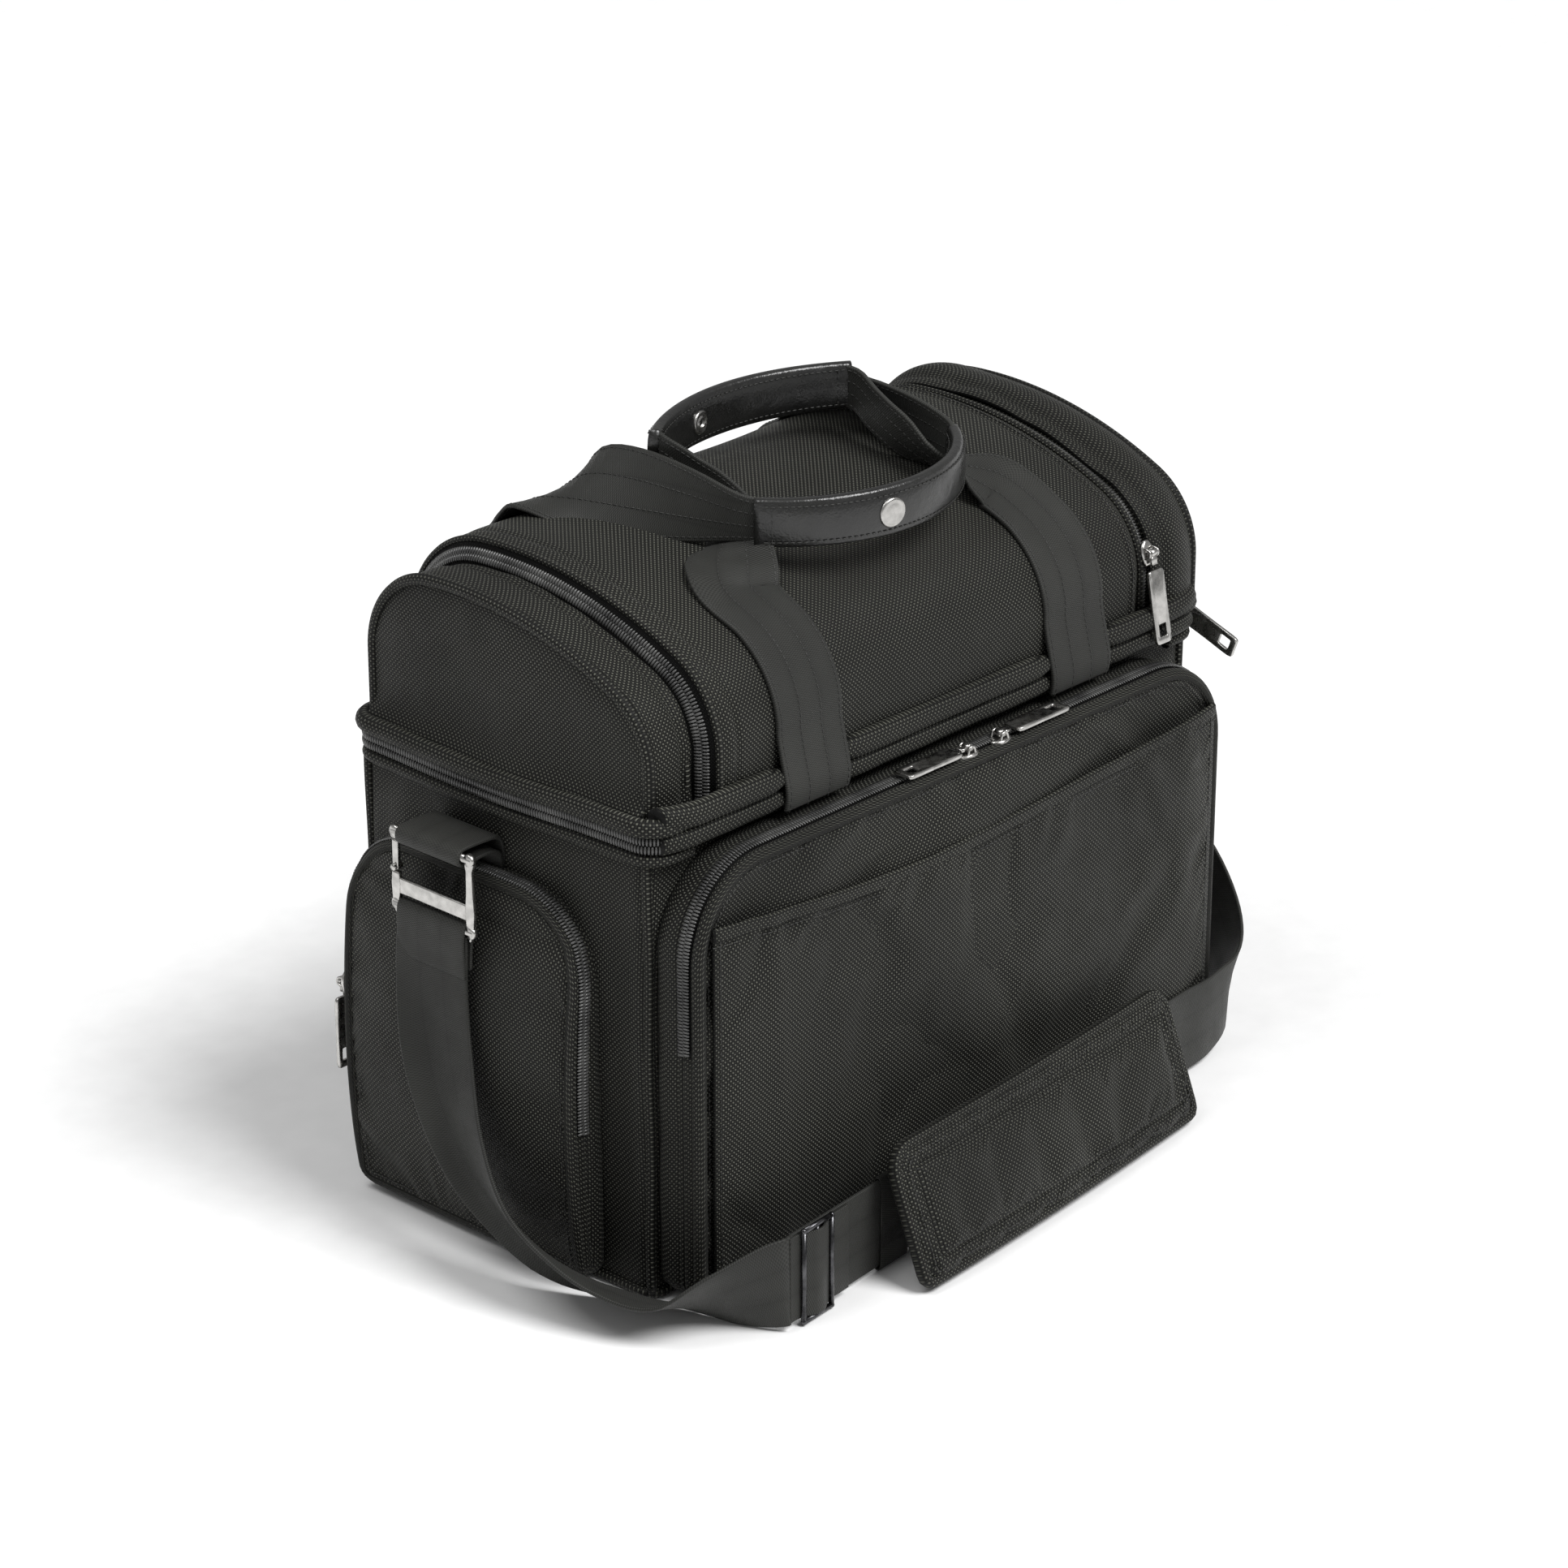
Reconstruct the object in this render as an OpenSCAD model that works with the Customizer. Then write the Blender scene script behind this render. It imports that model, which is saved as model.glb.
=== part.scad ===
// Soft flight bag with a domed zip lid, end pockets, front pocket, twin carry
// handles and a padded shoulder strap. Millimetres, +Z up. The origin is the
// centre of the body's underside; -Y is the front and -X the left end.

/* [Body] */
// Length of the body, left to right
bag_l = 420; // [410:2:430]
// Depth of the body, front to back
bag_d = 204; // [200:1:206]
// Height of the body, up to the lid's zip
bag_h = 250; // [248:1:250]
// Thickness of the padded walls
wall = 5; // [4:0.5:5]

/* [Lid] */
// Radius of the lid's front shoulder
front_shoulder_r = 50; // [48:1:51]
// Radius of the lid's fuller back shoulder
back_shoulder_r = 58; // [57:1:59]
// Radius of the long crown between the shoulders
crown_r = 260; // [250:5:270]
// Distance from the centre to each arch zip
arch_x = 170; // [168:1:172]

/* [Pockets] */
// How far the front pocket stands out
front_pocket_t = 32; // [30:1:32]
// Height of the front pocket
front_pocket_h = 243; // [240:1:243]
// Height of the open slip pocket's hem
slip_h = 205; // [195:1:210]
// How far each end pocket stands out
side_pocket_t = 25; // [22:1:25]
// Height of the end pockets
side_pocket_h = 212; // [205:1:212]

/* [Straps] */
// Width of the webbing
webbing_w = 50; // [48:1:50]
// Thickness of the webbing
webbing_t = 2.4; // [2:0.1:2.6]
// Distance from the centre to the lid straps' inner edges
strap_x = 78; // [77:1:79]
// Length of the shoulder pad
pad_l = 250; // [230:5:255]
// Height of the shoulder pad's face
pad_w = 78; // [70:1:78]

/* [Hidden] */
$fn = 32;

half_l = bag_l / 2;
half_d = bag_d / 2;
gap = 0.1;
bottom_t = 4;
piping_r = 3;
lining_t = 1;

// The lid's base line and the half depths of its outer skins
lid_z = 262;
zip_mid_z = 256;
lid_y = 108;
front_shoulder = [-lid_y + front_shoulder_r, 291];
back_shoulder = [lid_y - back_shoulder_r, 304];
shell_t = 4;
cap_drop = 2;
cap_end_x = 208;
arch_w = 8;

// Sliders and pulls, in their own frame: the pull runs along +X and the
// outward side is +Z
slider_axis_z = 5.4;
bridge_r = 1;
ring_clear = 0.06;
pull_l = 50;
pull_w = 12.5;
pull_t = 2;

// The end pockets' outline
side_y0 = -68;
side_y1 = 98;

// The shoulder strap's anchors and connectors
anchor_y = 20;
anchor_z = 228;
connector_x = 240;

// The straight stretch of the shoulder strap in front of the bag
run_mid = [0, -156, 28];
run_angle = 4.8;

// ---------------------------------------------------------------- helpers
function arc(c, r, a0, a1, n = 8) =
    [for (i = [0 : n]) c + r * [cos(a0 + (a1 - a0) * i / n), sin(a0 + (a1 - a0) * i / n)]];

function round_rect(w, d, r) = concat(
    arc([w / 2 - r, d / 2 - r], r, 0, 90, 6),
    arc([-w / 2 + r, d / 2 - r], r, 90, 180, 6),
    arc([-w / 2 + r, -d / 2 + r], r, 180, 270, 6),
    arc([w / 2 - r, -d / 2 + r], r, 270, 360, 6));

// A pocket's outline: square at the bottom, rounded at the two top corners
function pocket_outline(u0, u1, v0, v1, r) = concat(
    [[u0, v0], [u1, v0]],
    arc([u1 - r, v1 - r], r, 0, 90, 8),
    arc([u0 + r, v1 - r], r, 90, 180, 8));

// The crown's centre, from which it meets both shoulders smoothly
span = back_shoulder - front_shoulder;
front_reach = crown_r - front_shoulder_r;
back_reach = crown_r - back_shoulder_r;
crown_turn = atan2(span.y, span.x) - acos((span * span + front_reach * front_reach
    - back_reach * back_reach) / (2 * norm(span) * front_reach));
crown_at = front_shoulder + front_reach * [cos(crown_turn), sin(crown_turn)];
crown_front = crown_turn + 180;
crown_back = atan2(back_shoulder.y - crown_at.y, back_shoulder.x - crown_at.x);

// The lid's section in Y and Z: upright sides, round shoulders and a crown of
// larger radius that rises to the back. inset moves it inwards.
function lid_section(inset, base_z) = concat(
    [[-lid_y + inset, base_z]],
    arc(front_shoulder, front_shoulder_r - inset, 180, crown_front, 10),
    arc(crown_at, crown_r - inset, crown_front, crown_back, 10),
    arc(back_shoulder, back_shoulder_r - inset, crown_back, 0, 10),
    [[lid_y - inset, base_z]]);

module box(low, high) {
    translate(low)
        cube(high - low);
}

// Stands a Y-Z outline up along X from x0 to x1
module along_x(x0, x1) {
    translate([x0, 0, 0])
        rotate([90, 0, 90])
            linear_extrude(x1 - x0)
                children();
}

// Stands an X-Z outline up along Y from y0 to y1
module along_y(y0, y1) {
    translate([0, y1, 0])
        rotate([90, 0, 0])
            linear_extrude(y1 - y0)
                children();
}

module both_ends() {
    children();
    mirror([1, 0, 0])
        children();
}

// Catmull-Rom point between b and c
function blend(a, b, c, d, t) =
    0.5 * (2 * b + (c - a) * t + (2 * a - 5 * b + 4 * c - d) * t * t
        + (3 * b - a - 3 * c + d) * t * t * t);
function smooth(p, steps) = let (n = len(p)) concat(
    [for (i = [0 : n - 2], k = [0 : steps - 1])
        blend(p[max(i - 1, 0)], p[i], p[i + 1], p[min(i + 2, n - 1)], k / steps)],
    [p[n - 1]]);
function unit(v) = v / norm(v);
function tangent(p, i) = unit(p[min(i + 1, len(p) - 1)] - p[max(i - 1, 0)]);

// A flat band swept along points p, with its width along directions u
module ribbon(p, u, width, thick, steps = 4) {
    path = smooth(p, steps);
    wide = smooth(u, steps);
    n = len(path);
    corners = [for (i = [0 : n - 1])
        let (t = tangent(path, i),
             side = unit(wide[i] - t * (wide[i] * t)) * width / 2,
             out = unit(cross(t, side)) * thick / 2)
        each [path[i] - side - out, path[i] + side - out,
              path[i] + side + out, path[i] - side + out]];
    sides = [for (i = [0 : n - 2], k = [0 : 3])
        let (a = 4 * i + k, b = 4 * i + (k + 1) % 4)
        each [[a, b, b + 4], [a, b + 4, a + 4]]];
    last = 4 * (n - 1);
    ends = [[0, 3, 2], [0, 2, 1], [last, last + 1, last + 2], [last, last + 2, last + 3]];
    polyhedron(corners, concat([for (f = sides) [f[0], f[2], f[1]]],
        [for (f = ends) [f[0], f[2], f[1]]]));
}

// ------------------------------------------------------------------- body
module bottom_panel() {
    color("#1c1c1a")
        linear_extrude(bottom_t)
            polygon(round_rect(bag_l, bag_d, 10));
}

module base_board() {
    color("#3a3a38")
        box([-half_l + wall + 2, -half_d + wall + 2, bottom_t + lining_t + gap],
            [half_l - wall - 2, half_d - wall - 2, bottom_t + lining_t + 3]);
}

module wall_panel_long(y0) {
    color("#26261f")
        box([-half_l + wall + gap, y0, bottom_t], [half_l - wall - gap, y0 + wall, bag_h]);
}

module front_panel() {
    wall_panel_long(-half_d);
}

module back_panel() {
    wall_panel_long(half_d - wall);
}

module wall_panel_end(x0) {
    color("#26261f")
        box([x0, -half_d + piping_r + 0.2, bottom_t], [x0 + wall, half_d - piping_r - 0.2, bag_h]);
}

module left_end_panel() {
    wall_panel_end(-half_l);
}

module right_end_panel() {
    wall_panel_end(half_l - wall);
}

module corner_piping() {
    color("#1a1a18")
        both_ends()
            for (side = [-1, 1])
                translate([half_l - wall + piping_r + 0.2, side * half_d, bottom_t])
                    cylinder(r = piping_r, h = bag_h - bottom_t - 2);
}

// Thin bucket of lining cloth inside the walls
module main_lining() {
    inner = half_l - wall - gap;
    deep = half_d - wall - gap;
    color("#4a4a48")
        difference() {
            box([-inner, -deep, bottom_t], [inner, deep, bag_h - 1]);
            box([-inner + lining_t, -deep + lining_t, bottom_t + lining_t],
                [inner - lining_t, deep - lining_t, bag_h]);
        }
}

// ----------------------------------------------------------- front pocket
front_r = 48;
front_half = half_l - 5.5;
front_low = 8;
front_y = half_d + front_pocket_t;
front_skin = 3;

module front_outline(inset) {
    polygon(pocket_outline(-front_half + inset, front_half - inset, front_low + inset,
        front_pocket_h - inset, front_r - inset));
}

module front_band(y0, y1, inset) {
    along_y(y0, y1)
        difference() {
            front_outline(inset);
            front_outline(front_skin);
        }
}

module front_pocket_gusset() {
    color("#24241f")
        front_band(-half_d - 18, -half_d - 0.05, 0);
}

module front_pocket_zip() {
    color("#101010")
        front_band(-front_y + front_skin, -half_d - 18 - gap, 0.4);
}

module front_pocket_panel() {
    color("#26261f")
        along_y(-front_y, -front_y + front_skin - gap)
            front_outline(0);
}

// Open slip pocket sewn over the lower part of the front panel
module front_slip_panel() {
    color("#26261f")
        box([-front_half + 6, -front_y - 2.6, front_low + 4],
            [front_half - 6, -front_y - 0.6, slip_h]);
}

// ---------------------------------------------------------- zip hardware
// Slider: a body over the coil and two lugs that hold the bridge bar
module slider_body() {
    color("#b8b6b0") {
        translate([-7, -5, 0.6])
            linear_extrude(1.9)
                polygon([[0, 3.4], [4, 0], [14, 1.6], [14, 8.4], [4, 10], [0, 6.6]]);
        for (side = [-1, 1])
            translate([0, side * 3.3 - 0.6, 2.4])
                hull() {
                    translate([-2.2, 0, 0])
                        cube([4.4, 1.2, 0.4]);
                    translate([-1.6, 0, slider_axis_z - 2.4 + 1])
                        cube([3.2, 1.2, 0.6]);
                }
        translate([0, 3.5, slider_axis_z])
            rotate([90, 0, 0])
                cylinder(r = bridge_r, h = 7);
    }
}

// Pull: a ring round the bridge, a neck, and a flat plate with a square hole.
// droop turns the plate sideways past its neck.
module pull_plate(droop = 0) {
    ring_r = 2.1;
    neck_x = 6;
    hole = 6;
    color("#a8a6a0")
        translate([0, 0, slider_axis_z]) {
            difference() {
                union() {
                    translate([0, 2.4, 0])
                        rotate([90, 0, 0])
                            cylinder(r = ring_r, h = 4.8);
                    box([1.5, -2.4, -pull_t / 2], [neck_x, 2.4, pull_t / 2]);
                }
                translate([0, 5, 0])
                    rotate([90, 0, 0])
                        cylinder(r = bridge_r + ring_clear, h = 10);
            }
            translate([neck_x - 1, 0, 0])
                rotate([0, 0, droop])
                    difference() {
                        union() {
                            box([0, -2.4, -pull_t / 2], [7, 2.4, pull_t / 2]);
                            box([6, -pull_w / 2, -pull_t / 2],
                                [pull_l - neck_x + 1, pull_w / 2, pull_t / 2]);
                        }
                        box([pull_l - neck_x - 10, -hole / 2, -5],
                            [pull_l - neck_x - 10 + hole, hole / 2, 5]);
                    }
        }
}

// Puts a zip's own frame at p, with its pull's direction and outward side
module at_zip(p, turn) {
    translate(p)
        rotate(turn)
            children();
}

// Turns a pull about its bridge by angle
module swung(angle) {
    translate([0, 0, slider_axis_z])
        rotate([0, angle, 0])
            translate([0, 0, -slider_axis_z])
                children();
}

front_zip_y = -front_y + 8;
front_left_at = [2, front_zip_y, front_pocket_h + 0.2];
front_right_at = [28, front_zip_y, front_pocket_h + 0.2];

module front_slider_left() {
    at_zip(front_left_at, [0, 0, 180])
        slider_body();
}

module front_pull_left() {
    at_zip(front_left_at, [0, 0, 180])
        pull_plate();
}

module front_slider_right() {
    at_zip(front_right_at, [0, 0, 0])
        slider_body();
}

module front_pull_right() {
    at_zip(front_right_at, [0, 0, 0])
        pull_plate();
}

// ------------------------------------------------------------ end pockets
side_r = 45;
side_low = 5;
side_skin = 3;
side_x = half_l + side_pocket_t;
side_zip_x = side_x - 6;

module side_outline(inset) {
    polygon(pocket_outline(side_y0 + inset, side_y1 - inset, side_low + inset,
        side_pocket_h - inset, side_r - inset));
}

module side_band(x0, x1, inset) {
    along_x(x0, x1)
        difference() {
            side_outline(inset);
            side_outline(side_skin);
        }
}

module side_gusset() {
    color("#24241f")
        side_band(half_l + 0.05, side_x - 11, 0);
}

module side_zip() {
    color("#101010")
        side_band(side_x - 11 + gap, side_x - side_skin, 0.4);
}

module side_panel() {
    color("#26261f")
        along_x(side_x - side_skin + gap, side_x)
            side_outline(0);
}

// The end pockets' sliders sit on the back edge and their pulls hang down
module at_side_zip() {
    at_zip([side_zip_x, side_y1 + 0.2, 122], [0, 90, 90])
        children();
}

module left_pocket_gusset() {
    mirror([1, 0, 0])
        side_gusset();
}

module left_pocket_zip() {
    mirror([1, 0, 0])
        side_zip();
}

module left_pocket_panel() {
    mirror([1, 0, 0])
        side_panel();
}

module left_pocket_slider() {
    mirror([1, 0, 0])
        at_side_zip()
            slider_body();
}

module left_pocket_pull() {
    mirror([1, 0, 0])
        at_side_zip()
            pull_plate();
}

module right_pocket_gusset() {
    side_gusset();
}

module right_pocket_zip() {
    side_zip();
}

module right_pocket_panel() {
    side_panel();
}

module right_pocket_slider() {
    at_side_zip()
        slider_body();
}

module right_pocket_pull() {
    at_side_zip()
        pull_plate();
}

// ---------------------------------------------------------------- lid zip
rim_x = half_l + 3;
rim_y = half_d + 4;
rim_t = 5;

// Three-sided band: left end, back and right end
module lid_zip_band(z0, z1) {
    color("#101010")
        translate([0, 0, z0])
            linear_extrude(z1 - z0)
                difference() {
                    polygon(concat([[-rim_x, -half_d + 2], [rim_x, -half_d + 2]],
                        arc([rim_x - 14, rim_y - 14], 14, 0, 90, 6),
                        arc([-rim_x + 14, rim_y - 14], 14, 90, 180, 6)));
                    polygon(concat([[-rim_x + rim_t, -half_d], [rim_x - rim_t, -half_d]],
                        arc([rim_x - 14, rim_y - 14], 14 - rim_t, 0, 90, 6),
                        arc([-rim_x + 14, rim_y - 14], 14 - rim_t, 90, 180, 6)));
                }
}

module lid_zip_lower() {
    lid_zip_band(bag_h + gap, zip_mid_z - gap);
}

module lid_zip_upper() {
    lid_zip_band(zip_mid_z + gap, lid_z - gap);
}

module at_lid_zip() {
    at_zip([rim_x + 0.2, -84, zip_mid_z], [-90, 0, -90])
        children();
}

module lid_zip_slider() {
    at_lid_zip()
        slider_body();
}

module lid_zip_pull() {
    at_lid_zip()
        pull_plate(20);
}

// -------------------------------------------------------------------- lid
module lid_skin(x0, x1, inset, thick) {
    along_x(x0, x1)
        difference() {
            polygon(lid_section(inset, lid_z));
            polygon(lid_section(inset + thick, lid_z - 1));
        }
}

module lid_center_shell() {
    color("#26261f")
        lid_skin(-arch_x + arch_w / 2, arch_x - arch_w / 2, 0, shell_t);
}

module lid_cap() {
    color("#26261f")
        lid_skin(arch_x + arch_w / 2, cap_end_x, cap_drop, shell_t);
}

module lid_end() {
    color("#24241f")
        along_x(cap_end_x + gap, cap_end_x + shell_t)
            polygon(lid_section(cap_drop, lid_z));
}

module arch_zip() {
    color("#101010")
        lid_skin(arch_x - arch_w / 2 + gap, arch_x + arch_w / 2 - gap, cap_drop, shell_t - 1);
}

module lid_left_cap() {
    mirror([1, 0, 0])
        lid_cap();
}

module lid_right_cap() {
    lid_cap();
}

module lid_left_end() {
    mirror([1, 0, 0])
        lid_end();
}

module lid_right_end() {
    lid_end();
}

module left_arch_zip() {
    mirror([1, 0, 0])
        arch_zip();
}

module right_arch_zip() {
    arch_zip();
}

// The arch sliders ride the shoulder arcs, 15 degrees above their feet. The
// right one closes at the front and the left one at the back.
arch_slider_angle = 15;
module on_shoulder(shoulder, radius) {
    translate([arch_x, -abs(shoulder.x), shoulder.y])
        rotate([90 - arch_slider_angle, 0, 0])
            translate([0, 0, radius + 0.2])
                rotate([0, 0, -90])
                    children();
}

module at_front_arch() {
    on_shoulder(front_shoulder, front_shoulder_r)
        children();
}

module at_back_arch() {
    rotate([0, 0, 180])
        on_shoulder(back_shoulder, back_shoulder_r)
            children();
}

// The pull leans in by a few degrees, so that it hangs close to the wall
module arch_pull() {
    swung(4)
        pull_plate();
}

module right_arch_slider() {
    at_front_arch()
        slider_body();
}

module right_arch_pull() {
    at_front_arch()
        arch_pull();
}

module left_arch_slider() {
    at_back_arch()
        slider_body();
}

module left_arch_pull() {
    at_back_arch()
        arch_pull();
}

// Two padded rolls of the fabric hinge along the lid's front edge
roll_r = 4;
roll_half = 160;
roll_y = -lid_y - roll_r - 0.2;
module lid_front_roll() {
    color("#24241f")
        for (z = [258.2, 266.4])
            translate([-roll_half, roll_y, z])
                rotate([0, 90, 0])
                    cylinder(r = roll_r, h = 2 * roll_half);
}

// Webbing sewn over the lid's shoulders, up to where each handle leaves it
handle_y = 66;
strap_end_gap = 5;
module shoulder_strap_band(y0, y1, z0) {
    along_x(strap_x, strap_x + webbing_w)
        intersection() {
            difference() {
                polygon(lid_section(-webbing_t, lid_z));
                polygon(lid_section(-gap, lid_z - 1));
            }
            translate([y0, z0])
                square([y1 - y0, 120]);
        }
}

module lid_straps() {
    front_face = roll_y - roll_r - gap;
    strap_end = handle_y + strap_end_gap;
    far = lid_y + 10;
    color("#2d2e2d")
        both_ends() {
            shoulder_strap_band(-far, -strap_end, 272);
            shoulder_strap_band(strap_end, far, lid_z);
            box([strap_x, front_face - webbing_t, 253],
                [strap_x + webbing_w, front_face, 273]);
            box([strap_x, front_face - 1, 270.8],
                [strap_x + webbing_w, -lid_y - 0.5, 273]);
        }
}

// ---------------------------------------------------------------- handles
grip_t = 8;
grip_w = 27;
folded_w = 22;
front_base_z = 363.8;
back_base_z = 346.2;
front_grip_r = 94;
front_grip_y = 6;
front_grip_z = 374.5;
back_grip_r = 129;
back_grip_y = -83;
back_grip_z = 393;

// Leather grip: a band standing on edge, bowed in plan
module grip(radius, half_angle, start) {
    color("#1a1a1a")
        rotate([0, 0, start - half_angle])
            rotate_extrude(angle = 2 * half_angle, $fn = 96)
                translate([radius, 0])
                    polygon(round_rect(grip_t, grip_w, 3));
}

module front_handle_grip() {
    translate([0, front_grip_y, front_grip_z])
        grip(front_grip_r, 54, 270);
}

module back_handle_grip() {
    translate([0, back_grip_y, back_grip_z])
        grip(back_grip_r, 35.5, 90);
}

// The front grip's webbing starts on the back of the lid and crosses over
front_leg_path = [[114, handle_y, front_base_z], [110, 50, 368], [103, 34, 376],
    [92, 0, 378], [84, -26, 377.5], [78.2, -44.5, 376]];
front_leg_wide = [[1, 0, 0], [1, 0, 0.2], [0.3, 0, 1], [0, 0, 1], [0, 0, 1], [0, 0, 1]];
// The back grip's webbing starts on the front and passes inside it
back_leg_path = [[88, -handle_y, back_base_z], [79, -49, 355.5], [69.5, -34, 366.5],
    [68, -17, 377.5], [70, 0, 384.5], [72.4, 14.5, 391.3]];
back_leg_wide = [[1, 0, 0], [1, 0, -0.05], [0.8, 0, -0.6], [0.2, 0, -1], [0, 0, -1], [0, 0, -1]];

module front_handle_webbing() {
    color("#2d2e2d")
        both_ends()
            ribbon(front_leg_path, front_leg_wide, folded_w, 3);
}

module back_handle_webbing() {
    color("#2d2e2d")
        both_ends()
            ribbon(back_leg_path, back_leg_wide, folded_w, 3);
}

// Press stud on the front grip's outer face
module snap_cap() {
    color("#c0beb8")
        translate([0, front_grip_y, front_grip_z])
            rotate([0, 0, -10.6])
                translate([0, -front_grip_r - grip_t / 2 - 1.7, 0])
                    rotate([-90, 0, 0])
                        cylinder(r = 8, h = 1.6);
}

// Socket of the press stud, on the back grip's front face
module snap_socket() {
    color("#8a8884")
        translate([0, back_grip_y, back_grip_z])
            rotate([0, 0, 11])
                translate([0, back_grip_r - grip_t / 2 - 2, 0])
                    rotate([-90, 0, 0])
                        difference() {
                            cylinder(r = 6.5, h = 1.6);
                            translate([0, 0, -1])
                                cylinder(r = 2.6, h = 4);
                        }
}

// --------------------------------------------------- anchors and connectors
pin_r = 2;
arm_half = 27;
arm_low = 186;
arm_top = 230;
bar_z = 188;
gate_z0 = 207.5;
gate_z1 = 223.5;
gate_y = anchor_y + arm_half;
gate_pin_r = 0.9;
fork_half = 3.2;
fork_t = 1.4;
crossbar_z0 = 194;
crossbar_z1 = 203;

// Webbing tab sewn to the end wall, looped round the connector's top bar
module strap_anchor() {
    tab_half = 23;
    color("#2d2e2d")
        difference() {
            union() {
                box([half_l + 0.05, anchor_y - tab_half, 213.5],
                    [half_l + 2.5, anchor_y + tab_half, anchor_z + 4]);
                box([half_l + 2, anchor_y - tab_half, anchor_z - 1.2],
                    [connector_x - 1, anchor_y + tab_half, anchor_z + 1.2]);
                translate([connector_x, anchor_y - tab_half, anchor_z])
                    rotate([-90, 0, 0])
                        cylinder(r = pin_r + 1.6, h = 2 * tab_half);
            }
            translate([connector_x, anchor_y - 30, anchor_z])
                rotate([-90, 0, 0])
                    cylinder(r = pin_r + gap, h = 60);
        }
}

module left_strap_anchor() {
    mirror([1, 0, 0])
        strap_anchor();
}

module right_strap_anchor() {
    strap_anchor();
}

module bar_along_y(z, r) {
    translate([connector_x, anchor_y - arm_half, z])
        rotate([-90, 0, 0])
            cylinder(r = r, h = 2 * arm_half);
}

module arm(y, z0, z1) {
    box([connector_x - 1.5, y - 2.5, z0], [connector_x + 1.5, y + 2.5, z1]);
}

// Metal connector: two arms, a round bar at each end and a plain flat
// crossbar. The back arm is open between its nose and the sprung gate's pin.
module connector() {
    color("#b8b6b0") {
        bar_along_y(anchor_z, pin_r);
        bar_along_y(bar_z, pin_r);
        arm(anchor_y - arm_half, arm_low, arm_top);
        arm(gate_y, arm_low, gate_z0 - 1.6);
        arm(gate_y, gate_z1 + 0.5, arm_top);
        box([connector_x - 1, anchor_y - arm_half, crossbar_z0],
            [connector_x + 1, anchor_y + arm_half, crossbar_z1]);
        for (x = [connector_x - fork_half, connector_x + fork_half - fork_t])
            box([x, gate_y - 2, gate_z0 - 5], [x + fork_t, gate_y + 2, gate_z0 + 3]);
        box([connector_x - fork_half, gate_y - 2, gate_z0 - 5],
            [connector_x + fork_half, gate_y + 2, gate_z0 - 2]);
        translate([connector_x - fork_half, gate_y, gate_z0 + 1])
            rotate([0, 90, 0])
                cylinder(r = gate_pin_r, h = 2 * fork_half);
    }
}

// Sprung gate that closes the connector's back arm
module gate() {
    color("#b8b6b0")
        difference() {
            union() {
                box([connector_x - 1.5, gate_y - 2, gate_z0 + 1],
                    [connector_x + 1.5, gate_y + 2, gate_z1]);
                translate([connector_x - 1.5, gate_y, gate_z0 + 1])
                    rotate([0, 90, 0])
                        cylinder(r = 2, h = 3);
            }
            translate([connector_x - 3, gate_y, gate_z0 + 1])
                rotate([0, 90, 0])
                    cylinder(r = gate_pin_r + ring_clear, h = 6);
        }
}

module left_connector() {
    mirror([1, 0, 0])
        connector();
}

module right_connector() {
    connector();
}

module left_gate() {
    mirror([1, 0, 0])
        gate();
}

module right_gate() {
    gate();
}

// ---------------------------------------------------------- shoulder strap
function run_point(x) = run_mid + x * [cos(run_angle), sin(run_angle), 0];

// Route of the webbing's centre: down from the left connector, round the
// front left corner, straight along the front, and up to the right connector
strap_path = [[-241, 20, 184.6], [-242, 20, 150], [-246, 10, 108], [-251, -12, 70],
    [-251, -40, 44], [-246, -68, 31], [-236, -100, 28], [-224, -130, 28], [-210, -154, 28],
    run_point(-190), run_point(-178), run_point(-150), run_point(0), run_point(100),
    run_point(150), run_point(172), [198, -140, 29], [223, -133, 36], [240, -113, 54],
    [248, -84, 84], [247, -50, 112], [244.5, -12, 136], [242, 15, 156], [241, 20, 180]];
strap_wide = [[0, 1, 0], [0, 1, -0.1], [0, 0.9, -0.45], [0, 0.65, -0.75], [0, 0.35, -0.95],
    [0, 0.1, -1], [0, 0, -1], [0, 0, -1], [0, 0, -1], [0, 0, -1], [0, 0, -1], [0, 0, -1],
    [0, 0, -1], [0, 0, -1], [0, 0, -1], [0, 0, -1], [0, 0.05, -1], [0, 0.15, -1],
    [0, 0.4, -0.9], [0, 0.65, -0.75], [0, 0.75, -0.65], [0, 0.85, -0.5], [0, 0.97, -0.2],
    [0, 1, 0]];

module strap_webbing() {
    color("#2d2e2d")
        ribbon(strap_path, strap_wide, webbing_w, webbing_t, 3);
}

// Puts children on the strap's straight stretch, x along the strap
module on_run(x) {
    translate(run_point(x))
        rotate([0, 0, run_angle])
            children();
}

// Wire adjuster: an outer frame and a centre bar in front of the webbing
module triglide() {
    color("#3a3a3c")
        on_run(-165)
            difference() {
                box([-13, -4.4, -27.4], [13, -1.6, 27.6]);
                for (x = [-9.8, 1.6])
                    box([x, -5, -24.4], [x + 8.2, -1, 24.6]);
            }
}

pad_t = 13;
pad_lean = -20;
pad_at = 10;
binding_w = 4;
pad_r = 16;
module pad_frame() {
    on_run(pad_at)
        translate([0, -25, 12])
            rotate([pad_lean, 0, 0])
                children();
}

module shoulder_pad() {
    color("#26261f")
        pad_frame()
            along_y(-pad_t / 2, pad_t / 2)
                polygon(round_rect(pad_l - 2 * binding_w - gap, pad_w - 2 * binding_w - gap,
                    pad_r - binding_w));
}

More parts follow.
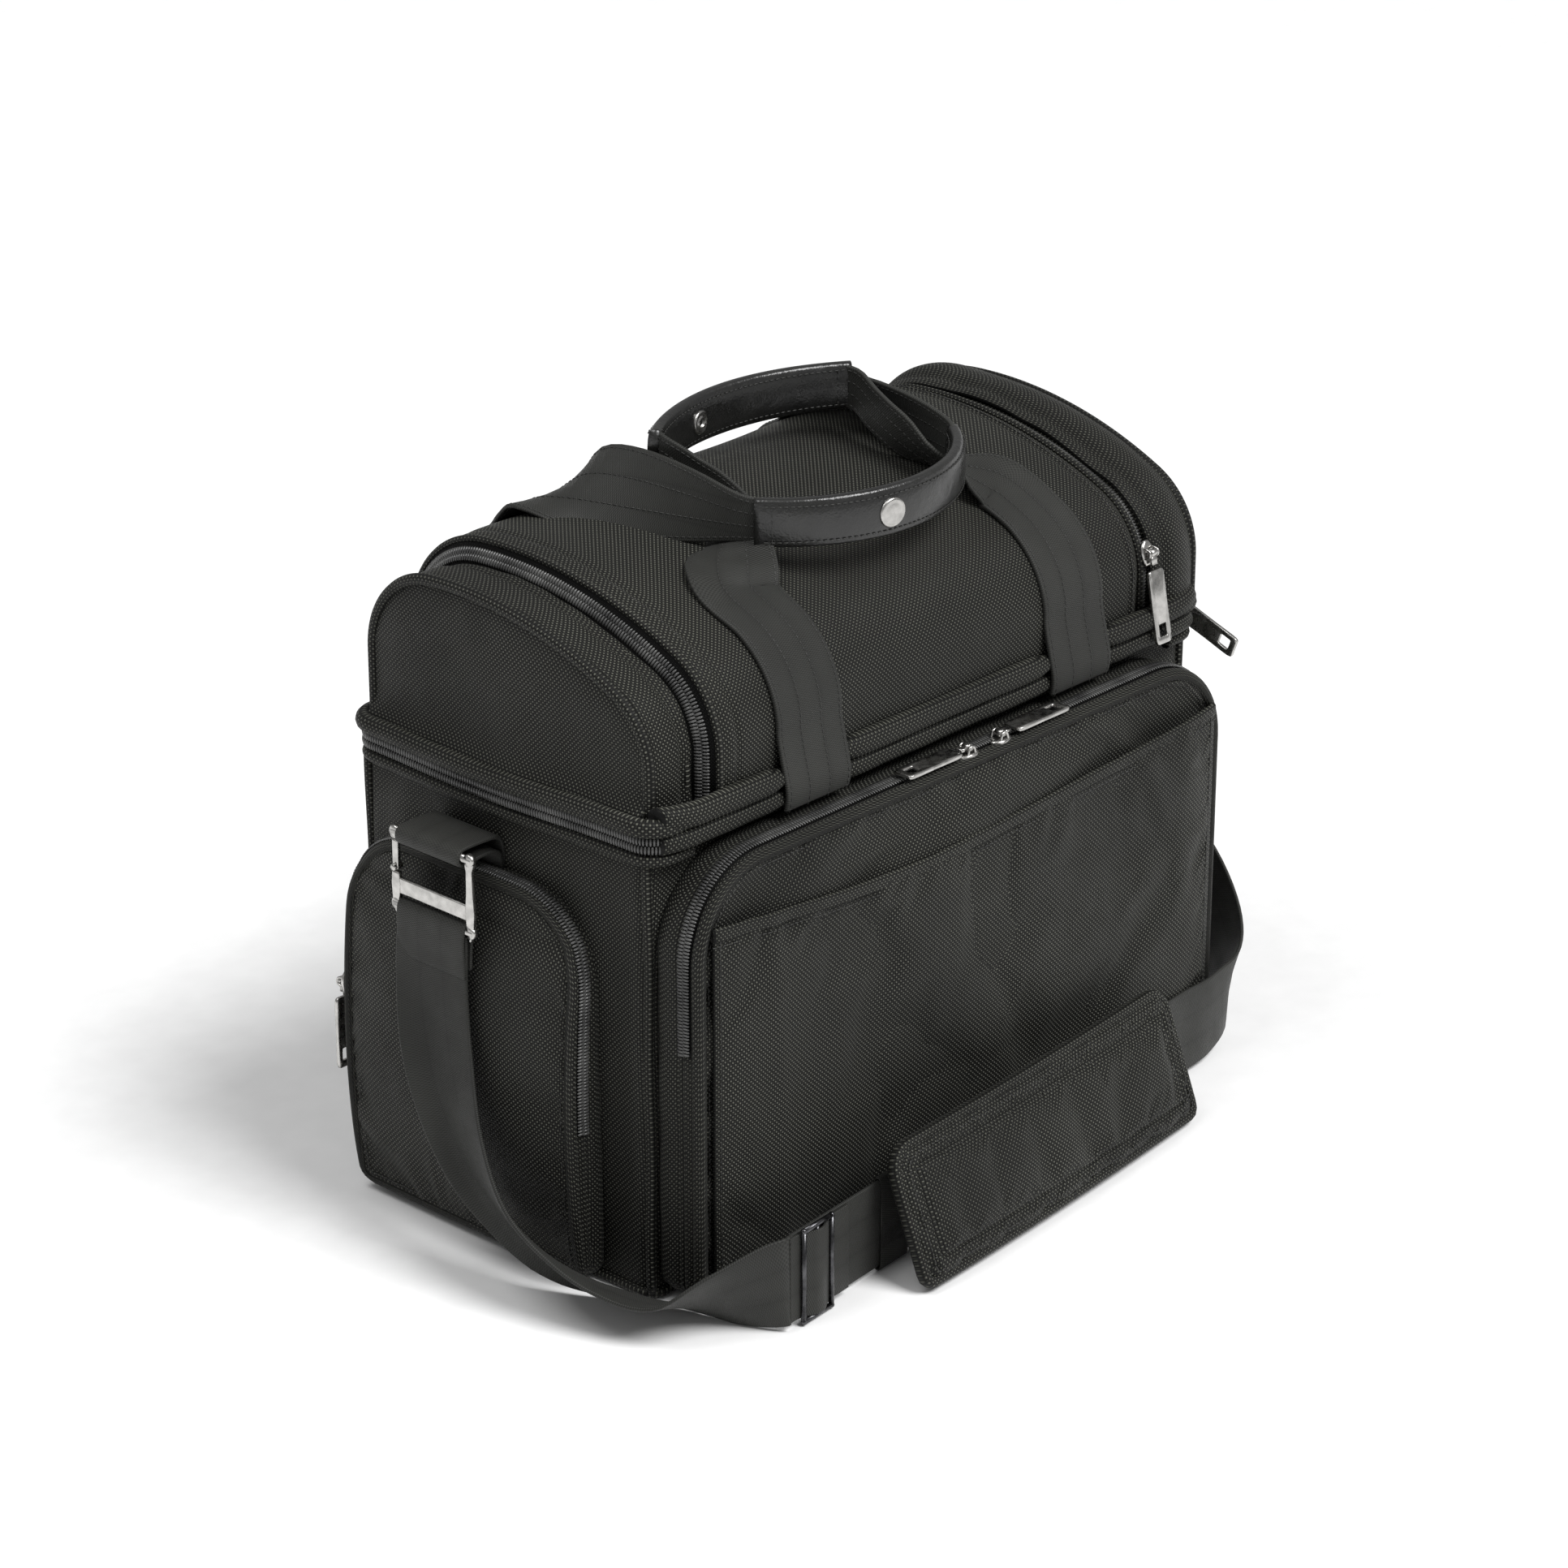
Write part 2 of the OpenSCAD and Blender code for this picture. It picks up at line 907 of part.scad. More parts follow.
module pad_binding() {
    color("#2d2e2d")
        pad_frame()
            along_y(-pad_t / 2 - 0.4, pad_t / 2 + 0.4)
                difference() {
                    polygon(round_rect(pad_l, pad_w, pad_r));
                    polygon(round_rect(pad_l - 2 * binding_w, pad_w - 2 * binding_w,
                        pad_r - binding_w));
                }
}

// Webbing loops on the pad's back that hold it to the strap
module pad_loops() {
    loop_x = 107;
    color("#2d2e2d")
        for (side = [-1, 1])
            on_run(pad_at + side * loop_x) {
                difference() {
                    box([-12, -2.9, -27], [12, 2.9, 27.4]);
                    box([-13, -1.8, -25.7], [13, 1.8, 26]);
                }
                box([-12, -15.2, 12], [12, -2.5, 18]);
            }
}

// ------------------------------------------------------------------ output
bottom_panel();
base_board();
front_panel();
back_panel();
left_end_panel();
right_end_panel();
corner_piping();
main_lining();
front_pocket_gusset();
front_pocket_zip();
front_pocket_panel();
front_slip_panel();
front_slider_left();
front_slider_right();
front_pull_left();
front_pull_right();
left_pocket_gusset();
left_pocket_zip();
left_pocket_panel();
left_pocket_slider();
left_pocket_pull();
right_pocket_gusset();
right_pocket_zip();
right_pocket_panel();
right_pocket_slider();
right_pocket_pull();
left_strap_anchor();
right_strap_anchor();
lid_zip_lower();
lid_zip_upper();
lid_zip_slider();
lid_zip_pull();
lid_center_shell();
lid_left_cap();
lid_right_cap();
lid_left_end();
lid_right_end();
left_arch_zip();
right_arch_zip();
left_arch_slider();
right_arch_slider();
left_arch_pull();
right_arch_pull();
lid_front_roll();
lid_straps();
front_handle_webbing();
front_handle_grip();
snap_cap();
back_handle_webbing();
back_handle_grip();
snap_socket();
left_connector();
right_connector();
left_gate();
right_gate();
strap_webbing();
triglide();
shoulder_pad();
pad_binding();
pad_loops();
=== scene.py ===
"""Flight bag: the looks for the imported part, built in the part's own frame.

Shapes are worked out in millimetres and turned into metres as each mesh is
made. +Z is up, -Y is the front pocket's side and -X the left end.
"""

import math

import bmesh
import bpy
import numpy as np
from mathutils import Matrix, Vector, noise


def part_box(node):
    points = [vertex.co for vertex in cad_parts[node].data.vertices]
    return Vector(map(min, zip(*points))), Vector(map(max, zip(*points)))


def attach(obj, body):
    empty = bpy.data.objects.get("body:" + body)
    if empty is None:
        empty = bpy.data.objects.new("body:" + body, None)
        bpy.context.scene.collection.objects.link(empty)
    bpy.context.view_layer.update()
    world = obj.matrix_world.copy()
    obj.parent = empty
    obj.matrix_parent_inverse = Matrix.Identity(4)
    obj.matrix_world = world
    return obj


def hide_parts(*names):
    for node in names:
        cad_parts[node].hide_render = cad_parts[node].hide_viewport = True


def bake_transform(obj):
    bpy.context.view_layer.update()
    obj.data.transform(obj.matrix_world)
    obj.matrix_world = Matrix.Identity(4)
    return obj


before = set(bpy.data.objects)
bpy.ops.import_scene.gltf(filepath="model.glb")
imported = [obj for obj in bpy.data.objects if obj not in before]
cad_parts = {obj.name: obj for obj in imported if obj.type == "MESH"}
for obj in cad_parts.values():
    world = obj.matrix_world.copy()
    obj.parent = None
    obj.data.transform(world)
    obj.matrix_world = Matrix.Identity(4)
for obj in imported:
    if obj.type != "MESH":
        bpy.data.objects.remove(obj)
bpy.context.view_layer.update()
MM = 0.001
X, Y, Z = np.eye(3)


def box_mm(node):
    low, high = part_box(node)
    return np.array(low) / MM, np.array(high) / MM


def side_name(side):
    return "left" if side < 0 else "right"


def at_x(x, yz):
    """Points in Y and Z, given the same X."""
    return np.column_stack([np.full(len(yz), x), yz])


def at_z(xy, z):
    """Points in X and Y, given the same Z."""
    return np.column_stack([xy, np.full(len(xy), z)])


# ------------------------------------------------------- sizes from the frame
HALF_L, HALF_D = box_mm("bottom_panel")[1][:2]
RIM_Z = box_mm("front_panel")[1][2]
LID_Y = box_mm("lid_center_shell")[1][1]
LID_BASE = box_mm("lid_center_shell")[0][2]
SHELL_X = box_mm("lid_center_shell")[1][0]
CAP_X0, CAP_X1 = box_mm("lid_right_cap")[0][0], box_mm("lid_right_cap")[1][0]
END_X = box_mm("lid_right_end")[1][0]
ARCH_X = (SHELL_X + CAP_X0) / 2
ZIP_X, ZIP_Y = box_mm("lid_zip_lower")[1][:2]
ZIP_Z = (box_mm("lid_zip_lower")[1][2] + box_mm("lid_zip_upper")[0][2]) / 2
FRONT_R, BACK_R, CROWN_R = 50.0, 58.0, 260.0
FRONT_SHOULDER = np.array([FRONT_R - LID_Y, 291.0])
BACK_SHOULDER = np.array([LID_Y - BACK_R, 304.0])
FRONT_LOW, FRONT_HIGH = box_mm("front_pocket_gusset")
FRONT_DEPTH = -box_mm("front_pocket_panel")[0][1] - HALF_D
SIDE_LOW, SIDE_HIGH = box_mm("right_pocket_gusset")
SIDE_DEPTH = box_mm("right_pocket_panel")[1][0] - HALF_L
STRAP_X0 = 78.0
WEB_W = 50.0
STRAP_X = STRAP_X0 + WEB_W / 2


# ------------------------------------------------------------------ materials
class Look:
    """One node material: a Principled shader fed by procedural patterns."""

    def __init__(self, name):
        self.mat = bpy.data.materials.new(name)
        self.mat.use_nodes = True
        self.tree = self.mat.node_tree
        self.shader = self.tree.nodes["Principled BSDF"]
        self.coords = self.tree.nodes.new("ShaderNodeTexCoord")

    def node(self, kind, **values):
        made = self.tree.nodes.new("ShaderNode" + kind)
        for key, value in values.items():
            made.inputs[key.replace("_", " ")].default_value = value
        return made

    def put(self, socket, value):
        if isinstance(value, bpy.types.NodeSocket):
            self.tree.links.new(value, socket)
        else:
            socket.default_value = value

    def math(self, operation, a, b=0.0):
        made = self.tree.nodes.new("ShaderNodeMath")
        made.operation = operation
        self.put(made.inputs[0], a)
        self.put(made.inputs[1], b)
        return made.outputs[0]

    def lerp(self, factor, a, b):
        return self.math("ADD", a, self.math("MULTIPLY", factor, self.math("SUBTRACT", b, a)))

    def uv_mm(self):
        """The U and V sockets in millimetres."""
        parts = self.node("SeparateXYZ")
        self.tree.links.new(self.coords.outputs["UV"], parts.inputs[0])
        return [self.math("DIVIDE", parts.outputs[k], MM) for k in (0, 1)]

    def wave(self, value, period):
        """0 in the gaps and 1 on the crowns of threads of this period."""
        return self.math("ABSOLUTE", self.math("SINE", self.math("MULTIPLY", value, math.pi / period)))

    def noise(self, scale, detail=3.0, low=0.0, high=1.0):
        made = self.node("TexNoise", Scale=scale, Detail=detail)
        self.tree.links.new(self.coords.outputs["Object"], made.inputs["Vector"])
        spread = self.node("MapRange", From_Min=0.3, From_Max=0.7, To_Min=low, To_Max=high)
        self.tree.links.new(made.outputs[0], spread.inputs[0])
        return spread.outputs[0]

    def ramp(self, factor, dark, light):
        made = self.tree.nodes.new("ShaderNodeMix")
        made.data_type = "RGBA"
        self.put(made.inputs[0], factor)
        made.inputs[6].default_value = (*dark, 1)
        made.inputs[7].default_value = (*light, 1)
        return made.outputs[2]

    def bump(self, height, distance):
        made = self.node("Bump", Distance=distance * MM)
        made.inputs["Strength"].default_value = 1.0
        self.put(made.inputs["Height"], height)
        self.tree.links.new(made.outputs[0], self.shader.inputs["Normal"])

    def finish(self, colour, roughness, **shader_inputs):
        self.put(self.shader.inputs["Base Color"], colour)
        self.put(self.shader.inputs["Roughness"], roughness)
        for key, value in shader_inputs.items():
            self.shader.inputs[key.replace("_", " ")].default_value = value
        return self.mat


def woven(name, dark, light, cell, depth, roughness=0.6, sheen=0.1, shine=0.18):
    """Ballistic basket weave: fat crowns that run across each other in turn,
    with gaps between them. Its colour is painted shade in the gaps and
    painted highlight on the crowns."""
    look = Look(name)
    u, v = look.uv_mm()
    parity = look.math(
        "PINGPONG",
        look.math("ADD", look.math("FLOOR", look.math("DIVIDE", u, cell)),
                  look.math("FLOOR", look.math("DIVIDE", v, cell))), 1.0)
    crown_u = look.wave(u, cell)
    crown_v = look.wave(v, cell)
    crown = look.math("MULTIPLY", crown_u, crown_v)
    over = look.lerp(parity, look.math("MULTIPLY", crown, 0.22), crown)
    height = look.math("ADD", over, look.math("MULTIPLY", look.lerp(parity, crown_v, crown_u), 0.12))
    look.bump(height, depth)
    patches = look.noise(9, 5, 0.6, 1.1)
    # Painted shade and highlight: the colour is darkest in the gaps between threads and lightest on the
    # crowns, times slow random patches.
    painted_shade_and_tone = look.math("MULTIPLY", look.math("POWER", look.math("MINIMUM", height, 1.0), 2.0), patches)
    return look.finish(look.ramp(painted_shade_and_tone, dark, light), look.noise(60, 2, roughness - 0.06, roughness + 0.06),
                       Sheen_Weight=sheen, Sheen_Roughness=0.4, Specular_IOR_Level=shine)


def webbing_look(name, dark, light):
    """Ribbed webbing: fine cross ribs with narrow sewn grooves along it, and painted shade that darkens the
    rib gaps and the grooves.
    """
    look = Look(name)
    u, v = look.uv_mm()
    side = look.math("PINGPONG", look.math("FLOOR", look.math("DIVIDE", u, 1.4)), 1.0)
    ribs = look.wave(look.math("ADD", v, look.math("MULTIPLY", side, 0.6)), 1.2)
    grooves = look.math("POWER", look.wave(look.math("ADD", u, 8.4), 16.8), 0.05)
    height = look.math("MULTIPLY", look.math("ADD", look.math("MULTIPLY", ribs, 0.55), 0.45), grooves)
    look.bump(height, 0.3)
    # Painted shade: the colour darkens in the gaps between ribs and in the sewn grooves, times slow random
    # tone.
    painted_shade_and_tone = look.math("MULTIPLY", look.math("POWER", height, 1.4), look.noise(14, 4, 0.7, 1.1))
    return look.finish(look.ramp(painted_shade_and_tone, dark, light), look.noise(70, 2, 0.42, 0.56),
                       Sheen_Weight=0.03, Specular_IOR_Level=0.2)


def leather_look(name):
    look = Look(name)
    cells = look.node("TexVoronoi", Scale=900.0)
    look.tree.links.new(look.coords.outputs["Object"], cells.inputs["Vector"])
    grain = look.math("ADD", look.math("MULTIPLY", cells.outputs["Distance"], 0.5), look.noise(160, 4, 0, 1))
    look.bump(grain, 0.16)
    return look.finish(look.ramp(look.noise(25, 3), (0.006, 0.006, 0.006), (0.013, 0.013, 0.012)),
                       look.noise(90, 3, 0.24, 0.36), Specular_IOR_Level=0.65)


def metal_look(name, dark, light, roughness):
    look = Look(name)
    look.bump(look.noise(1500, 2), 0.004)
    return look.finish(look.ramp(look.noise(200, 3), dark, light),
                       look.noise(300, 3, roughness - 0.06, roughness + 0.08), Metallic=1.0)


def plain_look(name, dark, light, roughness, grain=800, depth=0.05):
    look = Look(name)
    look.bump(look.noise(grain, 3), depth)
    return look.finish(look.ramp(look.noise(40, 3), dark, light),
                       look.noise(150, 3, roughness - 0.06, roughness + 0.06))


NYLON = woven("nylon", (0.001, 0.001, 0.0009), (0.132, 0.133, 0.11), 1.38, 0.5, 0.55, 0.03)
LINING = woven("lining", (0.02, 0.02, 0.019), (0.06, 0.06, 0.056), 0.7, 0.12, 0.6)
TAPE = woven("zip_tape", (0.0015, 0.0015, 0.0015), (0.012, 0.012, 0.011), 0.9, 0.2, sheen=0.02, shine=0.1)
WEBBING = webbing_look("webbing", (0.002, 0.002, 0.0018), (0.037, 0.0375, 0.034))
LEATHER = leather_look("leather")
NICKEL = metal_look("satin_nickel", (0.38, 0.374, 0.36), (0.56, 0.55, 0.53), 0.27)
BLACK_NICKEL = metal_look("black_nickel", (0.05, 0.05, 0.053), (0.11, 0.11, 0.115), 0.26)
COIL = plain_look("zip_coil", (0.03, 0.03, 0.03), (0.1, 0.1, 0.097), 0.22)
THREAD = plain_look("thread", (0.01, 0.01, 0.009), (0.026, 0.026, 0.024), 0.5)
BOARD = plain_look("board", (0.02, 0.02, 0.02), (0.045, 0.045, 0.045), 0.6, 400, 0.3)
FLOOR = plain_look("floor", (0.86, 0.86, 0.86), (0.9, 0.9, 0.9), 0.8, 60, 0.05)


# ------------------------------------------------------------------ mesh code
def unit(v):
    v = np.asarray(v, float)
    return v / np.maximum(np.linalg.norm(v, axis=-1, keepdims=True), 1e-9)


def arc_lengths(points, axis=0):
    steps = np.linalg.norm(np.diff(points, axis=axis), axis=-1)
    zero = np.zeros_like(np.take(steps, [0], axis=axis))
    return np.concatenate([zero, np.cumsum(steps, axis=axis)], axis=axis)


def make_object(name, verts, faces, mat, uv=None, body=None, replaces=(), slot=None):
    """One visible piece from millimetre points: it hangs from its body's empty
    and hides the CAD nodes it stands for. The slot is not used."""
    mesh = bpy.data.meshes.new(name)
    mesh.from_pydata((np.asarray(verts) * MM).tolist(), [], [tuple(f) for f in faces])
    bm = bmesh.new()
    bm.from_mesh(mesh)
    bmesh.ops.recalc_face_normals(bm, faces=bm.faces)
    bm.to_mesh(mesh)
    bm.free()
    if uv is not None:
        layer = mesh.uv_layers.new(name="UVMap")
        index = np.zeros(len(mesh.loops), int)
        mesh.loops.foreach_get("vertex_index", index)
        layer.data.foreach_set("uv", (np.asarray(uv)[index] * MM).astype(np.float32).ravel())
    mesh.polygons.foreach_set("use_smooth", [True] * len(mesh.polygons))
    mesh.materials.append(mat)
    obj = bpy.data.objects.new(name, mesh)
    bpy.context.scene.collection.objects.link(obj)
    if body:
        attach(obj, body)
    if replaces:
        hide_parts(*replaces)
    return obj


def grid_uv(grid):
    across = arc_lengths(grid, axis=1)
    along = arc_lengths(grid, axis=0)
    return np.stack([across, along], -1).reshape(-1, 2)


def grid_faces(rows, cols, wrap_rows=False, wrap_cols=False):
    faces = []
    for i in range(rows if wrap_rows else rows - 1):
        for k in range(cols if wrap_cols else cols - 1):
            a, b = i * cols + k, i * cols + (k + 1) % cols
            c, d = ((i + 1) % rows) * cols + (k + 1) % cols, ((i + 1) % rows) * cols + k
            faces.append((a, b, c, d))
    return faces


def rod_faces(rows, cols):
    """Rings joined into a rod, with both its ends closed."""
    ends = [tuple(range(cols)), tuple(range((rows - 1) * cols, rows * cols))]
    return grid_faces(rows, cols, False, True) + ends


def grid_normals(grid, wrap_rows=False):
    down = np.roll(grid, -1, 0) - np.roll(grid, 1, 0) if wrap_rows else np.gradient(grid, axis=0)
    return unit(np.cross(down, np.gradient(grid, axis=1)))


def skin(name, grid, mat, thick, wrap_rows=False, uv=None, **rest):
    """A cloth layer: the grid given a thickness and closed round its edges."""
    grid = np.asarray(grid, float)
    rows, cols = grid.shape[:2]
    out = grid_normals(grid, wrap_rows) * thick / 2
    verts = np.concatenate([(grid + out).reshape(-1, 3), (grid - out).reshape(-1, 3)])
    half = rows * cols
    faces = grid_faces(rows, cols, wrap_rows)
    faces += [tuple(half + k for k in reversed(f)) for f in grid_faces(rows, cols, wrap_rows)]
    edges = []
    last = rows if wrap_rows else rows - 1
    for i in range(last):
        j = (i + 1) % rows
        edges += [(i * cols, j * cols), (j * cols + cols - 1, i * cols + cols - 1)]
    if not wrap_rows:
        edges += [(k + 1, k) for k in range(cols - 1)]
        low = (rows - 1) * cols
        edges += [(low + k, low + k + 1) for k in range(cols - 1)]
    faces += [(a, b, b + half, a + half) for a, b in edges]
    flat = grid_uv(grid) if uv is None else np.asarray(uv).reshape(-1, 2)
    return make_object(name, verts, faces, mat, np.concatenate([flat, flat]), **rest)


def along_path(direction, path):
    """The same direction at every point, or a direction of each point's own."""
    return np.broadcast_to(np.asarray(direction, float), np.shape(path))


def sweep(name, path, side, out, profile, mat, closed=False, **rest):
    """A closed profile of (side, out) points carried along a path. The profile
    can be one list, or one list for each point of the path."""
    path = np.asarray(path, float)
    side, out = along_path(side, path), along_path(out, path)
    profile = np.asarray(profile, float)
    if profile.ndim == 2:
        profile = np.repeat(profile[None], len(path), 0)
    grid = (path[:, None] + profile[:, :, :1] * side[:, None] + profile[:, :, 1:] * out[:, None])
    rows, cols = grid.shape[:2]
    faces = grid_faces(rows, cols, True, True) if closed else rod_faces(rows, cols)
    uv = np.stack([profile[:, :, 0], np.repeat(arc_lengths(path)[:, None], cols, 1)], -1).reshape(-1, 2)
    return make_object(name, grid.reshape(-1, 3), faces, mat, uv, **rest)


def blend_curve(points, steps):
    """Catmull-Rom points through the given ones."""
    p = np.asarray(points, float)
    n = len(p)
    made = []
    for i in range(n - 1):
        a, b, c, d = p[max(i - 1, 0)], p[i], p[i + 1], p[min(i + 2, n - 1)]
        for k in range(steps):
            t = k / steps
            made.append(0.5 * (2 * b + (c - a) * t + (2 * a - 5 * b + 4 * c - d) * t * t
                               + (3 * b - a - 3 * c + d) * t ** 3))
    return np.array(made + [p[-1]])


def resample(path, pitch, *others):
    """The path, and any arrays that belong to it, at an even pitch."""
    length = arc_lengths(np.asarray(path, float))
    count = max(int(round(length[-1] / pitch)), 1) + 1
    at = np.linspace(0, length[-1], count)
    out = []
    for values in (path, *others):
        values = np.asarray(values, float)
        out.append(np.stack([np.interp(at, length, values[:, k]) for k in range(values.shape[1])], 1))
    return out if others else out[0]


# Each corner of a rectangle: its signs in X and Y, and where its arc starts
QUARTERS = ((1, 1, 0), (-1, 1, 90), (-1, -1, 180), (1, -1, 270))


def along_arcs(arcs):
    """Points and outward directions along arcs of (centre, radius, angles)."""
    points, out = [], []
    for centre, r, angles in arcs:
        for a in angles:
            n = np.array([math.cos(a), math.sin(a)])
            points.append(np.asarray(centre) + r * n)
            out.append(n)
    return points, out


def turned(first, last, count):
    """Angles in radians, evenly from one to another given in degrees."""
    return np.radians(np.linspace(first, last, count))


def tangents(path):
    return unit(np.gradient(np.asarray(path, float), axis=0))


def circle(radius, sides=10):
    turn = np.linspace(0, 2 * math.pi, sides, endpoint=False)
    return np.stack([radius * np.cos(turn), radius * np.sin(turn)], 1)


def soft_rect(width, thick, r, bulge=0.0):
    """A flat strip's section: rounded edges and, if asked, a crowned face."""
    steps = 4
    made = []
    for cx, cy, start in QUARTERS:
        for k in range(steps + 1):
            a = math.radians(start + 90 * k / steps)
            made.append((cx * (width / 2 - r) + r * math.cos(a), cy * (thick / 2 - r) + r * math.sin(a)))
        if start in (0, 180):
            for k in range(1, 8):
                u = cx * (width / 2 - r) * (1 - k / 4)
                made.append((u, cy * (thick / 2 + bulge * math.cos(math.pi * u / width))))
    return np.array(made)


def tube(name, path, radius, mat, up=Z, closed=False, **rest):
    path = np.asarray(path, float)
    along = tangents(path)
    if closed:
        along = unit(np.roll(path, -1, 0) - np.roll(path, 1, 0))
    side = unit(np.cross(along, np.broadcast_to(up, along.shape)))
    return sweep(name, path, side, np.cross(side, along), circle(radius), mat, closed, **rest)


def scatter(path, side, out, pitch, template, shift=0.0):
    """Copies of a small shape along a path, as vertices and faces."""
    verts, faces = template
    path, side, out = resample(path, pitch, along_path(side, path), along_path(out, path))
    if shift:
        path, side, out = (0.5 * (a[1:] + a[:-1]) for a in (path, side, out))
    along = tangents(path)
    side = unit(side)
    out = unit(out)
    points = (path[:, None] + verts[None, :, :1] * along[:, None] + verts[None, :, 1:2] * side[:, None]
              + verts[None, :, 2:] * out[:, None])
    count = len(verts)
    all_faces = [tuple(i * count + k for k in f) for i in range(len(path)) for f in faces]
    return points.reshape(-1, 3), all_faces


def join_parts(parts):
    verts, faces, first = [], [], 0
    for v, f in parts:
        verts.append(v)
        faces += [tuple(first + k for k in face) for face in f]
        first += len(v)
    return np.concatenate(verts), faces


def spindle(length, radius, axis=0, start=0.0, lift=0.0):
    """A short rounded bar along one local axis: a stitch or a zip tooth."""
    sides = 6
    rings = [(-0.5, 0.35), (-0.36, 0.9), (0, 1.0), (0.36, 0.9), (0.5, 0.35)]
    verts = []
    for place, fat in rings:
        for k in range(sides):
            a = 2 * math.pi * k / sides
            p = [0.0, 0.0, 0.0]
            p[axis] = start + place * length
            p[1 - axis] = radius * fat * math.cos(a)
            p[2] = radius * fat * math.sin(a) + lift * (1 - (2 * place) ** 2)
            verts.append(p)
    return np.array(verts), rod_faces(len(rings), sides)


STITCH = spindle(2.4, 0.36)
STITCH_PITCH = 3.4
TOOTH_PITCH = 1.8
TEETH = [spindle(4.6, 0.72, axis=1, start=side * 1.75, lift=0.5) for side in (-1, 1)]


def stitches(path, side, out):
    return scatter(path, side, out, STITCH_PITCH, STITCH)


def coil_parts(path, side, out):
    """Two rows of zip teeth that mesh along a path."""
    return [scatter(path, side, out, TOOTH_PITCH, TEETH[0]),
            scatter(path, side, out, TOOTH_PITCH, TEETH[1], shift=0.5)]


def ripple(points, size, amount, seed=0.0):
    """Smooth uneven offsets, the same on every run."""
    return np.array([amount * noise.noise(Vector((p[0] / size + seed, p[1] / size, p[2] / size + 3.1)))
                     for p in points.reshape(-1, 3)]).reshape(points.shape[:-1])


CLOTH_FRAMES = 14
CLOTH_SLACK = 0.02


def in_plane(across, up):
    """A wall's points laid flat, for ripple."""
    return np.stack([across, up, np.zeros_like(up)], -1)


def hump(x, centre, width):
    """A smooth hump: 1 at the centre, and near 0 from twice the width on."""
    return np.exp(-((x - centre) / width) ** 2)


def filled(edge, reach):
    """0 on the sewn edge and nearly 1 further inside than the reach."""
    return 1 - np.exp(-np.maximum(edge, 0) / reach)


def pinned_border(rows, cols, ends=2, last=2):
    """Which points of a skin's grid are sewn down round its border."""
    pinned = np.zeros((rows, cols), bool)
    pinned[:ends] = pinned[-ends:] = True
    pinned[:, :2] = pinned[:, -last:] = True
    return pinned


def puff(obj, pinned, pressure, cap):
    """Cloth simulation: air behind a skin's free points fills it out. No point
    moves further than cap, and the result is written to the mesh."""
    group = obj.vertex_groups.new(name="pinned")
    both_faces = np.concatenate([pinned.ravel(), pinned.ravel()])
    group.add([int(i) for i in np.flatnonzero(both_faces)], 1.0, "REPLACE")
    cloth = obj.modifiers.new("Cloth", "CLOTH")
    cloth.settings.quality = 6
    cloth.settings.mass = 0.3
    cloth.settings.tension_stiffness = 12
    cloth.settings.compression_stiffness = 12
    cloth.settings.shear_stiffness = 6
    cloth.settings.bending_stiffness = 0.6
    cloth.settings.vertex_group_mass = "pinned"
    cloth.settings.shrink_min = -CLOTH_SLACK
    cloth.settings.use_pressure = True
    cloth.settings.uniform_pressure_force = pressure
    cloth.settings.effector_weights.gravity = 0.0
    cloth.point_cache.frame_start = 1
    cloth.point_cache.frame_end = CLOTH_FRAMES
    scene = bpy.context.scene
    for step in range(1, CLOTH_FRAMES + 1):
        scene.frame_set(step)
    shaped = obj.evaluated_get(bpy.context.evaluated_depsgraph_get()).data
    count = len(obj.data.vertices)
    before = np.zeros(count * 3)
    after = np.zeros(count * 3)
    obj.data.vertices.foreach_get("co", before)
    shaped.vertices.foreach_get("co", after)
    move = (after - before).reshape(-1, 3)
    size = np.linalg.norm(move, axis=1, keepdims=True)
    limit = cap * MM
    move *= limit * np.tanh(size / limit) / np.maximum(size, 1e-12)
    obj.modifiers.remove(cloth)
    obj.data.vertices.foreach_set("co", (before.reshape(-1, 3) + move).ravel())
    obj.data.update()
    scene.frame_set(1)


# ----------------------------------------------------------- camera and light
def look_at(obj, place, target):
    direction = Vector(target) - Vector(place)
    obj.location = place
    obj.rotation_euler = direction.to_track_quat("-Z", "Y").to_euler()


def make_camera():
    """The photo's view, fitted to the bag's edges in it."""
    azimuth, elevation, distance = math.radians(-47.15), math.radians(23.63), 2.6795
    target = Vector((-0.0012, -0.0001, 0.1913))
    away = Vector((math.sin(azimuth) * math.cos(elevation), -math.cos(azimuth) * math.cos(elevation),
                   math.sin(elevation)))
    data = bpy.data.cameras.new("camera")
    data.lens = 114.7
    data.sensor_width = 36
    camera = bpy.data.objects.new("camera", data)
    bpy.context.scene.collection.objects.link(camera)
    look_at(camera, target + away * distance, target)
    bpy.context.scene.camera = camera


def add_light(name, kind, place, energy, target, **values):
    data = bpy.data.lights.new(name, kind)
    data.energy = energy
    for key, value in values.items():
        setattr(data, key, value)
    lamp = bpy.data.objects.new(name, data)
    bpy.context.scene.collection.objects.link(lamp)
    look_at(lamp, place, target)


def make_stage():
    """A white floor just under the bag, a soft sun and one area light."""
    half_size, gap, fill_light = 30.0, 0.3, 0.3
    corners = np.array([[-1, -1, 0], [1, -1, 0], [1, 1, 0], [-1, 1, 0]]) * half_size / MM
    floor = make_object("floor", corners - gap * Z, [(0, 1, 2, 3)], FLOOR)
    world = bpy.data.worlds.new("studio")
    world.use_nodes = True
    world.node_tree.nodes["Background"].inputs[0].default_value = (1, 1, 1, 1)
    world.node_tree.nodes["Background"].inputs[1].default_value = fill_light
    bpy.context.scene.world = world
    bpy.context.scene.view_settings.view_transform = "Standard"
    add_light("key", "SUN", (0.25, -0.95, 1.3), 3.3, (0, 0, 0), angle=math.radians(30))
    add_light("top", "AREA", (-0.9, 0.3, 2.0), 16, (0, 0, 0.2), size=1.0)


